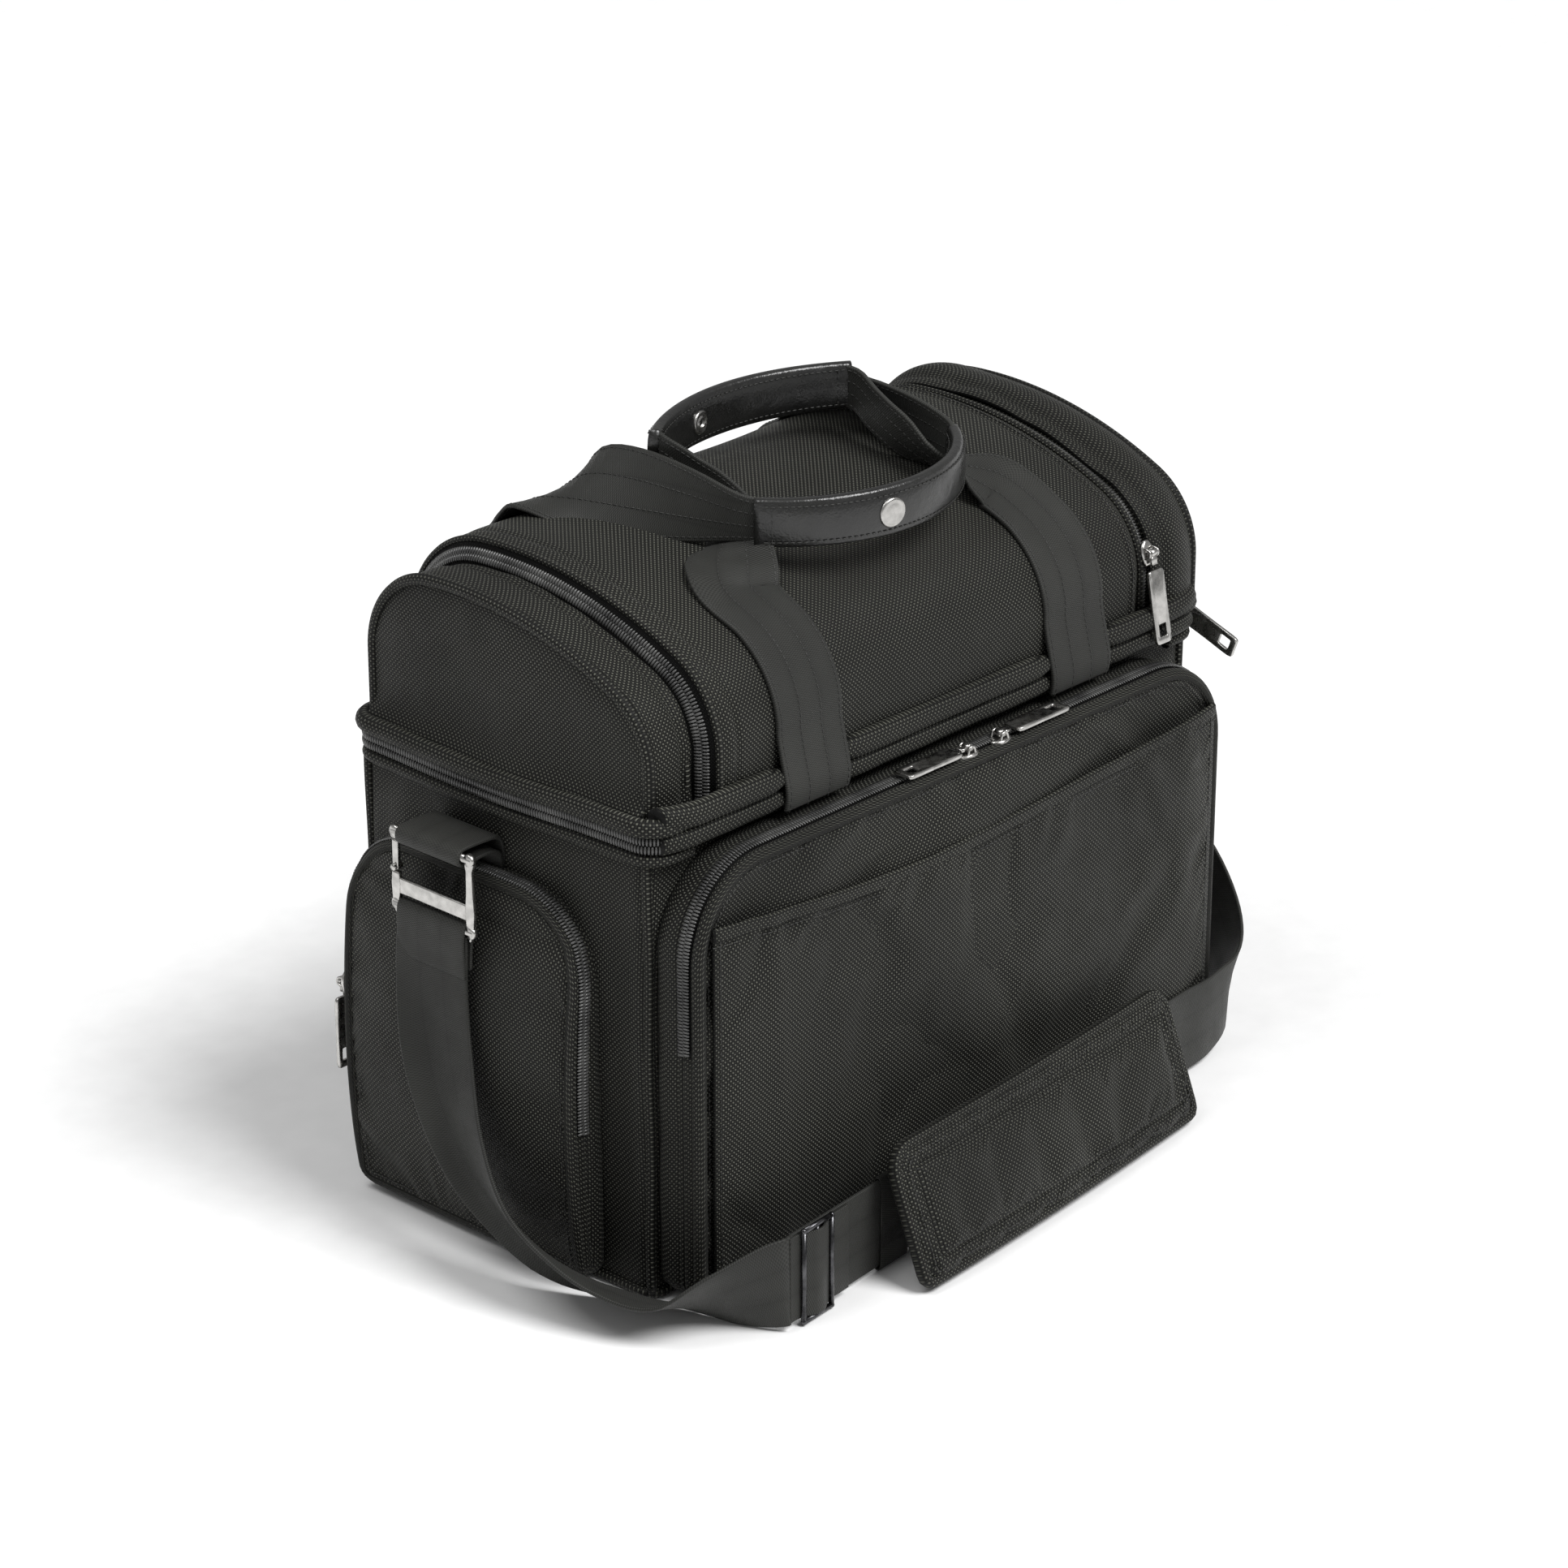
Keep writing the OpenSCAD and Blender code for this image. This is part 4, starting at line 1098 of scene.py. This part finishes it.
def make_carry_straps():
    """Each strap is one length of webbing, from the lid's foot to a grip."""
    for tag, leg in LEGS.items():
        rise = strap_up_lid(tag == "back")
        stations = [((STRAP_X, y, z), tuple(X), WEB_W - 2.5) for y, z in rise] + list(leg)
        path = blend_curve([place for place, wide, width in stations], 4)
        side = blend_curve([wide for place, wide, width in stations], 4)
        width = blend_curve([(width,) for place, wide, width in stations], 4)[:, 0]
        for sx in (-1, 1):
            mirror = np.array([sx, 1, 1])
            name = "%s_strap_%s" % (tag, side_name(sx))
            strap, across, out = webbing(name, path * mirror, side * mirror, width, 2.6, body=None,
                                         replaces=LEG_NODES[tag] if sx < 0 else ())
            verts, faces = sewn_rows(path * mirror, across, out, width, (-1, -0.35, 0.35, 1), 1.3)
            sewing = make_object(name + "_stitches", verts, faces, THREAD, slot="webbing")
            for piece in (strap, sewing):
                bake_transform(piece)


def make_handles():
    """Each grip hangs on webbing from the far side of the lid, so they cross."""
    for tag, node, half_angle, centre_deg in (("front", "front_handle_grip", 54, 270),
                                              ("back", "back_handle_grip", 35.5, 90)):
        low, high = box_mm(node)
        half_x = (high[0] - low[0]) / 2
        radius = half_x / math.sin(math.radians(half_angle)) - 4
        cy = (low[1] + radius + 4) if tag == "front" else (high[1] - radius - 4)
        z = (low[2] + high[2]) / 2
        a = np.radians(centre_deg + np.linspace(-half_angle, half_angle, 60))
        path = np.column_stack([radius * np.cos(a), cy + radius * np.sin(a), np.full(60, z)])
        out = np.column_stack([np.cos(a), np.sin(a), np.zeros(60)])
        section = np.array([soft_rect(high[2] - low[2] - 0.6 + 0.5 * math.cos(3 * s), 6.2, 2.4,
                                      1.9 * (1 - 0.6 * abs(s) ** 6)) for s in np.linspace(-1, 1, 60)])
        body = tag + "_handle"
        sweep(tag + "_grip", path, Z, out, section, LEATHER, body=body, replaces=(node,))
        parts = []
        for face in (-1, 1):
            for height in (-9.6, 9.6):
                parts.append(stitches(path[2:-2] + Z * height + out[2:-2] * face * 4.15,
                                      Z, out[2:-2] * face))
            for k in (3, 56):
                line = path[k] + np.linspace(-9, 9, 6)[:, None] * Z + out[k] * face * 4.3
                parts.append(scatter(line, X, out[k] * face, STITCH_PITCH, STITCH))
        make_object(tag + "_grip_stitches", *join_parts(parts), THREAD, body=body, slot="leather")
    make_snaps()


def disc(centre, axis, profile, sides=36):
    """Rings of (radius, height) turned round an axis."""
    axis = unit(axis)
    a = unit(np.cross(axis, Z if abs(axis[2]) < 0.9 else X))
    b = np.cross(axis, a)
    verts = []
    for r, h in profile:
        for k in range(sides):
            t = 2 * math.pi * k / sides
            verts.append(centre + h * axis + r * (math.cos(t) * a + math.sin(t) * b))
    return np.array(verts), rod_faces(len(profile), sides)


def make_snaps():
    domed = [(7.2, -1.0), (8.0, -0.6), (8.1, 0.1), (7.7, 0.7), (6.6, 1.15), (6.2, 1.0), (5.0, 1.35),
             (2.5, 1.6), (0.3, 1.65)]
    ring = [(2.5, -0.8), (6.4, -0.8), (6.6, 0.0), (6.0, 0.7), (5.0, 0.9), (4.2, 0.4), (3.5, 0.5),
            (2.9, 1.2), (2.4, 1.0), (2.3, -0.4)]
    for node, piece, body, facing, profile in (("snap_cap", "snap_cap_disc", "front_handle", -10.6, domed),
                                               ("snap_socket", "snap_socket_ring", "back_handle", 11, ring)):
        low, high = box_mm(node)
        a = math.radians(facing)
        out = np.array([math.sin(a), -math.cos(a), 0])
        make_object(piece, *disc((low + high) / 2, out, profile), NICKEL, body=body, replaces=(node,))


# ------------------------------------------------------------ zip hardware
# The pull's axis above the slider's foot, and how far a slider's foot lies
# below its CAD piece's middle. The left arch's tape lies lower than in CAD.
AXIS_H = 5.4
SLIDER_SINK = 3.8
LOW_SLIDER_SINK = 8.0


def rounded_plate(outline, hole, z0, z1, chamfer):
    """A flat plate with softened edges and a hole, from matching outlines."""
    outline = np.asarray(outline, float)
    hole = np.asarray(hole, float)
    centre = outline.mean(0)
    rings = []
    for z, inset in ((z0, chamfer), (z0 + chamfer, 0), (z1 - chamfer, 0), (z1, chamfer)):
        inward = unit(centre - outline)
        rings.append(at_z(outline + inward * inset, z))
    for z, inset in ((z1, chamfer), (z1 - chamfer, 0), (z0 + chamfer, 0), (z0, chamfer)):
        outward = unit(hole - hole.mean(0))
        rings.append(at_z(hole + outward * inset, z))
    grid = np.array(rings)
    return grid.reshape(-1, 3), grid_faces(len(rings), len(outline), True, True)


def ring_outline(u0, u1, half, r):
    """A rounded rectangle's outline, even in angle about its middle."""
    mid = (u0 + u1) / 2
    half_u = (u1 - u0) / 2
    made = []
    power = 2 / r
    count = 72
    for k in range(count):
        a = 2 * math.pi * (k + 0.5) / count
        c, s = math.cos(a), math.sin(a)
        scale = (abs(c) ** power + abs(s) ** power) ** (-1 / power)
        made.append((mid + half_u * c * scale, half * s * scale))
    return made


def slider_shape():
    """Slider body, two lugs and the bridge bar, in the slider's own frame."""
    plan = np.array([(-7, -1.7), (-3.4, -4.6), (0, -4.9), (7, -3.6), (7, 3.6), (0, 4.9), (-3.4, 4.6),
                     (-7, 1.7)])
    rings = [(0.5, 0.88), (0.9, 1.0), (2.0, 1.0), (2.6, 0.86), (2.8, 0.6)]
    verts = np.array([(x * s, y * s, z) for z, s in rings for x, y in plan])
    parts = [(verts, rod_faces(len(rings), len(plan)))]
    for y in (-3.3, 3.3):
        arch = np.array([(x, y, z) for x, z in ((-2.8, 2.2), (-2.4, 4.2), (-1.5, 5.9), (0, 6.5),
                                                (1.5, 5.9), (2.4, 4.2), (2.8, 2.2))])
        parts.append(swept(blend_curve(arch, 3), Y, circle(0.75, 8)))
    parts.append(bar(AXIS_H * Z, 3.6 * Y, X, 1.0))
    return join_parts(parts)


def swept(path, side, profile):
    along = tangents(path)
    side = along_path(side, path)
    out = unit(np.cross(along, side))
    grid = path[:, None] + profile[None, :, :1] * side[:, None] + profile[None, :, 1:] * out[:, None]
    return grid.reshape(-1, 3), rod_faces(*grid.shape[:2])


def bar(middle, half, side, radius):
    """A straight round bar; half is the way from its middle to one end."""
    return swept(np.array([middle - half, middle + half]), side, circle(radius, 12))


def pull_shape(droop):
    """The pull's eye, neck and tapered plate with its square window."""
    turn = np.linspace(0, 2 * math.pi, 24, endpoint=False)
    eye = []
    for y, r in ((-2.4, 1.8), (-2.1, 2.1), (2.1, 2.1), (2.4, 1.8), (2.4, 1.25), (-2.4, 1.25)):
        eye.append([(r * math.cos(t), y, r * math.sin(t)) for t in turn])
    eye = np.array(eye)
    parts = [(eye.reshape(-1, 3), grid_faces(6, 24, True, True))]
    neck = np.array([(1.4, 0, 0), (4, 0, 0), (6.5, 0, 0)])
    parts.append(swept(neck, Y, soft_rect(4.6, 1.9, 0.7)))
    verts, faces = rounded_plate(ring_outline(4.5, 45.5, 6.2, 0.16), ring_outline(34.5, 41.5, 3.1, 0.16),
                                 -1.0, 1.0, 0.35)
    a = math.radians(droop)
    spin = np.array([[math.cos(a), -math.sin(a), 0], [math.sin(a), math.cos(a), 0], [0, 0, 1]])
    parts.append((verts @ spin.T + np.array([5.0, 0, 0]), faces))
    return join_parts(parts)


def make_zip_hardware():
    lean = math.radians(15)
    up_front = np.array([0, -math.cos(lean), math.sin(lean)])
    down_front = np.array([0, -math.sin(lean), -math.cos(lean)])
    flip = np.array([1, -1, 1])
    places = (("front_slider_left", "front_pull_left", -X, Z, 0, 0),
              ("front_slider_right", "front_pull_right", X, Z, 0, 0),
              ("left_pocket_slider", "left_pocket_pull", -Z, Y, 0, 0),
              ("right_pocket_slider", "right_pocket_pull", -Z, Y, 0, 0),
              ("lid_zip_slider", "lid_zip_pull", -Y, X, 20, 0),
              ("right_arch_slider", "right_arch_pull", down_front, up_front, 0, 4),
              ("left_arch_slider", "left_arch_pull", down_front * flip, up_front * flip, 0, 4))
    for slider, pull, along, out, droop, swing in places:
        low, high = box_mm(slider)
        sunk = LOW_SLIDER_SINK if slider == "left_arch_slider" else SLIDER_SINK
        origin = (low + high) / 2 - out * sunk
        axes = np.array([along, np.cross(out, along), out])
        a = math.radians(swing)
        tilt = np.array([[math.cos(a), 0, math.sin(a)], [0, 1, 0], [-math.sin(a), 0, math.cos(a)]])
        verts, faces = pull_shape(droop)
        hung = verts @ tilt.T + np.array([0, 0, AXIS_H])
        for node, shape, shape_faces in ((slider, *slider_shape()), (pull, hung, faces)):
            make_object(node + "_metal", shape @ axes + origin, shape_faces, NICKEL, body=node + "_body",
                        replaces=(node,))


# ------------------------------------------------------------- shoulder strap
ANCHOR_Y = 20.0
LOW_BAR_Z, TOP_BAR_Z = 188, 228
RUN_MID = np.array([0.0, -156.0, 28.0])
RUN_ANGLE = math.radians(4.8)
RUN_DIR = np.array([math.cos(RUN_ANGLE), math.sin(RUN_ANGLE), 0])
RUN_OUT = np.array([math.sin(RUN_ANGLE), -math.cos(RUN_ANGLE), 0])


def run_point(x):
    return RUN_MID + x * RUN_DIR


def strap_route():
    """The webbing's centre and its width direction. It turns flat where it
    lies round the front left corner."""
    path = [[-241, 20, 186], [-242, 20, 150], [-246, 10, 108], [-251, -12, 70], [-251, -40, 42],
            [-247, -68, 26], [-238, -98, 17], [-226, -128, 14], [-210, -153, 21]]
    path += [run_point(x) for x in (-190, -178, -150, 0, 100, 150, 172)]
    path += [[198, -140, 29], [223, -133, 36], [240, -113, 54], [248, -84, 84], [247, -50, 112],
             [244.5, -12, 136], [242, 15, 156], [241, 20, 180]]
    wide = [[0, 1, 0], [0, 1, -0.1], [0.05, 0.9, -0.45], [0.3, 0.65, -0.7], [0.6, 0.35, -0.72],
            [0.74, 0.3, -0.6], [0.86, 0.34, -0.42], [0.85, 0.4, -0.42], [0.45, 0.25, -0.85]]
    wide += [[0, 0, -1]] * 7
    wide += [[0, 0.05, -1], [0, 0.15, -1], [0, 0.4, -0.9], [0, 0.65, -0.75], [0, 0.75, -0.65],
             [0, 0.85, -0.5], [0, 0.97, -0.2], [0, 1, 0]]
    return blend_curve(path, 6), blend_curve(wide, 6)


def make_strap():
    path, wide = strap_route()
    # How far the lower part curls, in radians, at some of the path's points
    curl_at = [(0, 0.0), (6, -0.25), (12, -0.9), (20, -1.15), (28, -1.0), (36, -0.5), (42, -0.15), (48, 0.0)]
    curls = np.interp(np.arange(len(path)), *np.transpose(curl_at))
    webbing("strap_band", path, wide, WEB_W, 2.2, curls, body="strap", replaces=("strap_webbing",))
    for side_x, tag in ((-1, "left"), (1, "right")):
        make_connector(side_x, tag)
    make_triglide()
    make_pad()


def bevelled(name, parts, mat, width, **rest):
    """Boxes and bars as one piece, each with its edges rounded."""
    obj = make_object(name, *join_parts(parts), mat, **rest)
    bm = bmesh.new()
    bm.from_mesh(obj.data)
    sharp = [e for e in bm.edges if len(e.link_faces) == 2 and e.calc_face_angle(0) > 0.9]
    bmesh.ops.bevel(bm, geom=sharp, offset=width * MM, segments=3, affect="EDGES", profile=0.5)
    bmesh.ops.recalc_face_normals(bm, faces=bm.faces)
    for face in bm.faces:
        face.smooth = True
    bm.to_mesh(obj.data)
    bm.free()
    return obj


def block(low, high):
    low, high = np.array(low, float), np.array(high, float)
    verts = np.array([[(low, high)[(k >> a) & 1][a] for a in range(3)] for k in range(8)])
    faces = [(0, 1, 3, 2), (4, 6, 7, 5), (0, 4, 5, 1), (2, 3, 7, 6), (0, 2, 6, 4), (1, 5, 7, 3)]
    return verts, faces


def arm_plate(x, y, stations):
    """One arm: a plate whose half width changes with height."""
    half_t = 1.6
    verts = [(x + sx * half_t, y + sy * half, z) for z, half in stations
             for sx, sy in ((-1, -1), (1, -1), (1, 1), (-1, 1))]
    return np.array(verts, float), rod_faces(len(stations), 4)


def make_connector(side_x, tag):
    """A nickel frame with its gate, the strap's fold round its lower bar and
    the sewn anchor round its top bar."""
    low, high = box_mm(tag + "_connector")
    x = (low[0] + high[0]) / 2
    y0, y1 = low[1] + 2.5, high[1] - 2.5
    gate_low, gate_high = box_mm(tag + "_gate")
    parts = [arm_plate(x, y0, ((low[2] - 3, 0.7), (low[2] + 3, 2.4), (199, 3.1), (210, 2.2), (222, 2.0),
                               (high[2] - 4, 3.2), (high[2] + 1, 1.6))),
             arm_plate(x, y1, ((low[2] - 3, 0.7), (low[2] + 3, 2.4), (199, 3.1), (gate_low[2] - 0.6, 2.4))),
             arm_plate(x, y1, ((gate_high[2] + 0.6, 2.2), (high[2] - 4, 3.2), (high[2] + 1, 1.6))),
             block((x - 1.1, y0, 194), (x + 1.1, y1, 203))]
    bevelled(tag + "_connector_frame", parts, NICKEL, 0.9, body="strap", replaces=(tag + "_connector",))
    bars = [swept(np.array([(x, y0 - 2, z), (x, y1 + 2, z)]), Z, circle(2.1, 16))
            for z in (LOW_BAR_Z, TOP_BAR_Z)]
    for y in (y0, y1):
        for z in (low[2] + 2, high[2] - 2):
            bars.append(disc(np.array([x, y, z]), X, [(3.0, -1.7), (3.5, -1.2), (3.5, 1.2), (3.0, 1.7)], 20))
    bars.append(disc(np.array([x, y1, gate_low[2] + 2]), X,
                     [(1.6, -3.1), (1.8, -2.8), (1.8, 2.8), (1.6, 3.1)], 16))
    make_object(tag + "_connector_bars", *join_parts(bars), NICKEL, body="strap")
    bevelled(tag + "_gate_bar", [block((x - 1.4, gate_low[1], gate_low[2] + 0.5),
                                       (x + 1.4, gate_high[1], gate_high[2]))],
             NICKEL, 0.8, body=tag + "_gate_body", replaces=(tag + "_gate",))
    fold = ((2.4, 162), (3.2, 175), (3.0, 186), (1.6, 190.4), (-1.6, 190.4), (-3.0, 186), (-2.2, 175),
            (-1.8, 166))
    curve = blend_curve([(x + side_x * off, ANCHOR_Y, z) for off, z in fold], 4)
    webbing(tag + "_strap_fold", curve, Y, 49.0, 1.8, body="strap")
    make_anchor(side_x, tag, x)


def make_anchor(side_x, tag, x):
    """A loop of webbing from the wall, over the connector's top bar and back."""
    low, high = box_mm(tag + "_strap_anchor")
    wall = side_x * HALF_L
    loop = [(start + side_x * off, ANCHOR_Y, z) for start, stretch in (
        (wall, ((1.6, 200), (1.8, 222), (5, 231), (14, 232.5))),
        (x, ((-3, 232.6), (2.6, 231.4), (3.9, 228), (2.4, 224.8), (-3, 224.2))),
        (wall, ((12, 225), (4, 221), (3.4, 208)))) for off, z in stretch]
    webbing(tag + "_anchor_web", blend_curve(loop, 5), Y, high[1] - low[1], 2.0, body="bag",
            replaces=(tag + "_strap_anchor",))


def make_triglide():
    low, high = box_mm("triglide")
    centre = (low + high) / 2
    x_mid = (centre - RUN_MID) @ RUN_DIR
    base = run_point(x_mid) + RUN_OUT * 4.6
    half_run, half_rise, upright = 11.4, 26.0, Z * 25.5
    wire_r, middle_r = 1.5, 1.4
    parts = []
    for offset in (-half_run, half_run):
        parts.append(bar(base + RUN_DIR * offset, upright, RUN_DIR, wire_r))
    for height in (-half_rise, half_rise):
        parts.append(bar(base + Z * height, RUN_DIR * half_run, Z, wire_r))
    for offset in (-half_run, half_run):
        for height in (-half_rise, half_rise):
            parts.append(disc(base + RUN_DIR * offset + Z * height, RUN_OUT,
                              [(0.9, -1.45), (1.5, -0.8), (1.62, 0), (1.5, 0.8), (0.9, 1.45)], 16))
    parts.append(bar(base - RUN_OUT * 0.6, upright, RUN_DIR, middle_r))
    make_object("triglide_wire", *join_parts(parts), BLACK_NICKEL, body="triglide_body",
                replaces=("triglide",))
    over = [run_point(x_mid + x) + RUN_OUT * d for x, d in
            ((-20, 1.9), (-13, 2.1), (-7, 4.4), (-2.5, 6.6), (2.5, 6.6), (7, 4.4), (13, 2.2), (20, 2.2),
             (28, 2.1))]
    webbing("triglide_fold", blend_curve(over, 5), -Z, 48.5, 1.8, body="triglide_body")


PAD_L, PAD_W = 250.0, 78.0
PAD_RIM = 3.0
PAD_LOOP_X = 107.0


def make_pad():
    """The padded sleeve: two puffed faces, a bound rim, stitches and loops."""
    lean = math.radians(-20)
    middle = (box_mm("pad_binding")[0] + box_mm("pad_binding")[1]) / 2
    tall = unit(Z * math.cos(lean) + RUN_OUT * math.sin(lean))
    out = unit(np.cross(RUN_DIR, tall))
    out = out if out @ RUN_OUT > 0 else -out

    def place(u, w, d):
        u, w, d = (np.asarray(a, float)[..., None] for a in (u, w, d))
        bend = -0.00022 * u * u
        return middle + RUN_DIR * u + tall * w + out * (d + bend)

    outline = Outline(lambda u, w, d: place(u, w - PAD_W / 2, d), (-PAD_L / 2, PAD_L / 2), (0, PAD_W), 16.0)
    nu, nw = 110, 44
    u = np.sin(np.linspace(-1, 1, nu) * math.pi / 2) * (PAD_L / 2 - PAD_RIM)
    edge = PAD_L / 2 - PAD_RIM - np.abs(u)
    half = PAD_W / 2 - PAD_RIM - corner_drop(edge, 14.0)
    w = np.sin(np.linspace(-1, 1, nw) * math.pi / 2)[None] * half[:, None]
    uu = np.repeat(u[:, None], nw, 1)
    rim = np.minimum(edge[:, None], half[:, None] - np.abs(w))
    fill = filled(rim, 6)
    seam = hump(rim, 11, 1.6)
    pinned = pinned_border(nu, nw, ends=3) | (seam > 0.5)
    for tag, sign in (("front", 1), ("back", -1)):
        soft = ripple(in_plane(uu, w), 34, 1.3, 8.8 + sign)
        swell = (6.2 + soft) * fill - (2.6 * seam if sign > 0 else 0)
        obj = skin("pad_%s_face" % tag, place(uu, w, sign * (1.0 + swell)), NYLON, 1.4,
                   uv=np.stack([uu, w], -1), body="pad",
                   replaces=("shoulder_pad",) if sign > 0 else ())
        puff(obj, pinned, pressure=1.5, cap=2.6)
    path, _, outward = outline.frame_at(*outline.edge(inset=PAD_RIM), 0, 0)
    sweep("pad_rim", path, outward, out, soft_rect(6.2, 7.4, 2.9), NYLON,
          closed=True, body="pad", replaces=("pad_binding",))
    for sign, inset, lift in ((-1, 8.0, 5.2), (1, 8.0, 5.4), (1, 15.5, 5.6)):
        path, _, outward = outline.frame_at(*outline.edge(inset=inset), 0, sign * lift)
        make_object("pad_stitches_%d_%d" % (sign + 1, inset), *stitches(path, outward, out * sign), THREAD,
                    body="pad", slot="nylon")
    make_pad_loops(middle)


def make_pad_loops(middle):
    x_mid = (middle - RUN_MID) @ RUN_DIR
    for sign in (-1, 1):
        base = run_point(x_mid + sign * PAD_LOOP_X)
        around = []
        for a in np.linspace(0, 2 * math.pi, 41)[:-1]:
            c, s = math.cos(a), math.sin(a)
            thin = 2.4 * np.sign(c) * abs(c) ** 0.5
            tall = 26.6 * np.sign(s) * abs(s) ** 0.35
            around.append(base + RUN_OUT * thin + Z * (tall - 0.3))
        around = np.array(around)
        outward = unit(around - base)
        sweep("pad_loop_" + side_name(sign), around, RUN_DIR, outward,
              soft_rect(24, 1.2, 0.5), WEBBING, closed=True, body="pad",
              replaces=("pad_loops",) if sign < 0 else ())


make_camera()
make_stage()
make_body()
make_front_pocket()
make_end_pocket(-1)
make_end_pocket(1)
make_center()
make_cap(-1)
make_cap(1)
make_lid_zip()
make_front_rolls()
make_carry_straps()
make_handles()
make_zip_hardware()
make_strap()
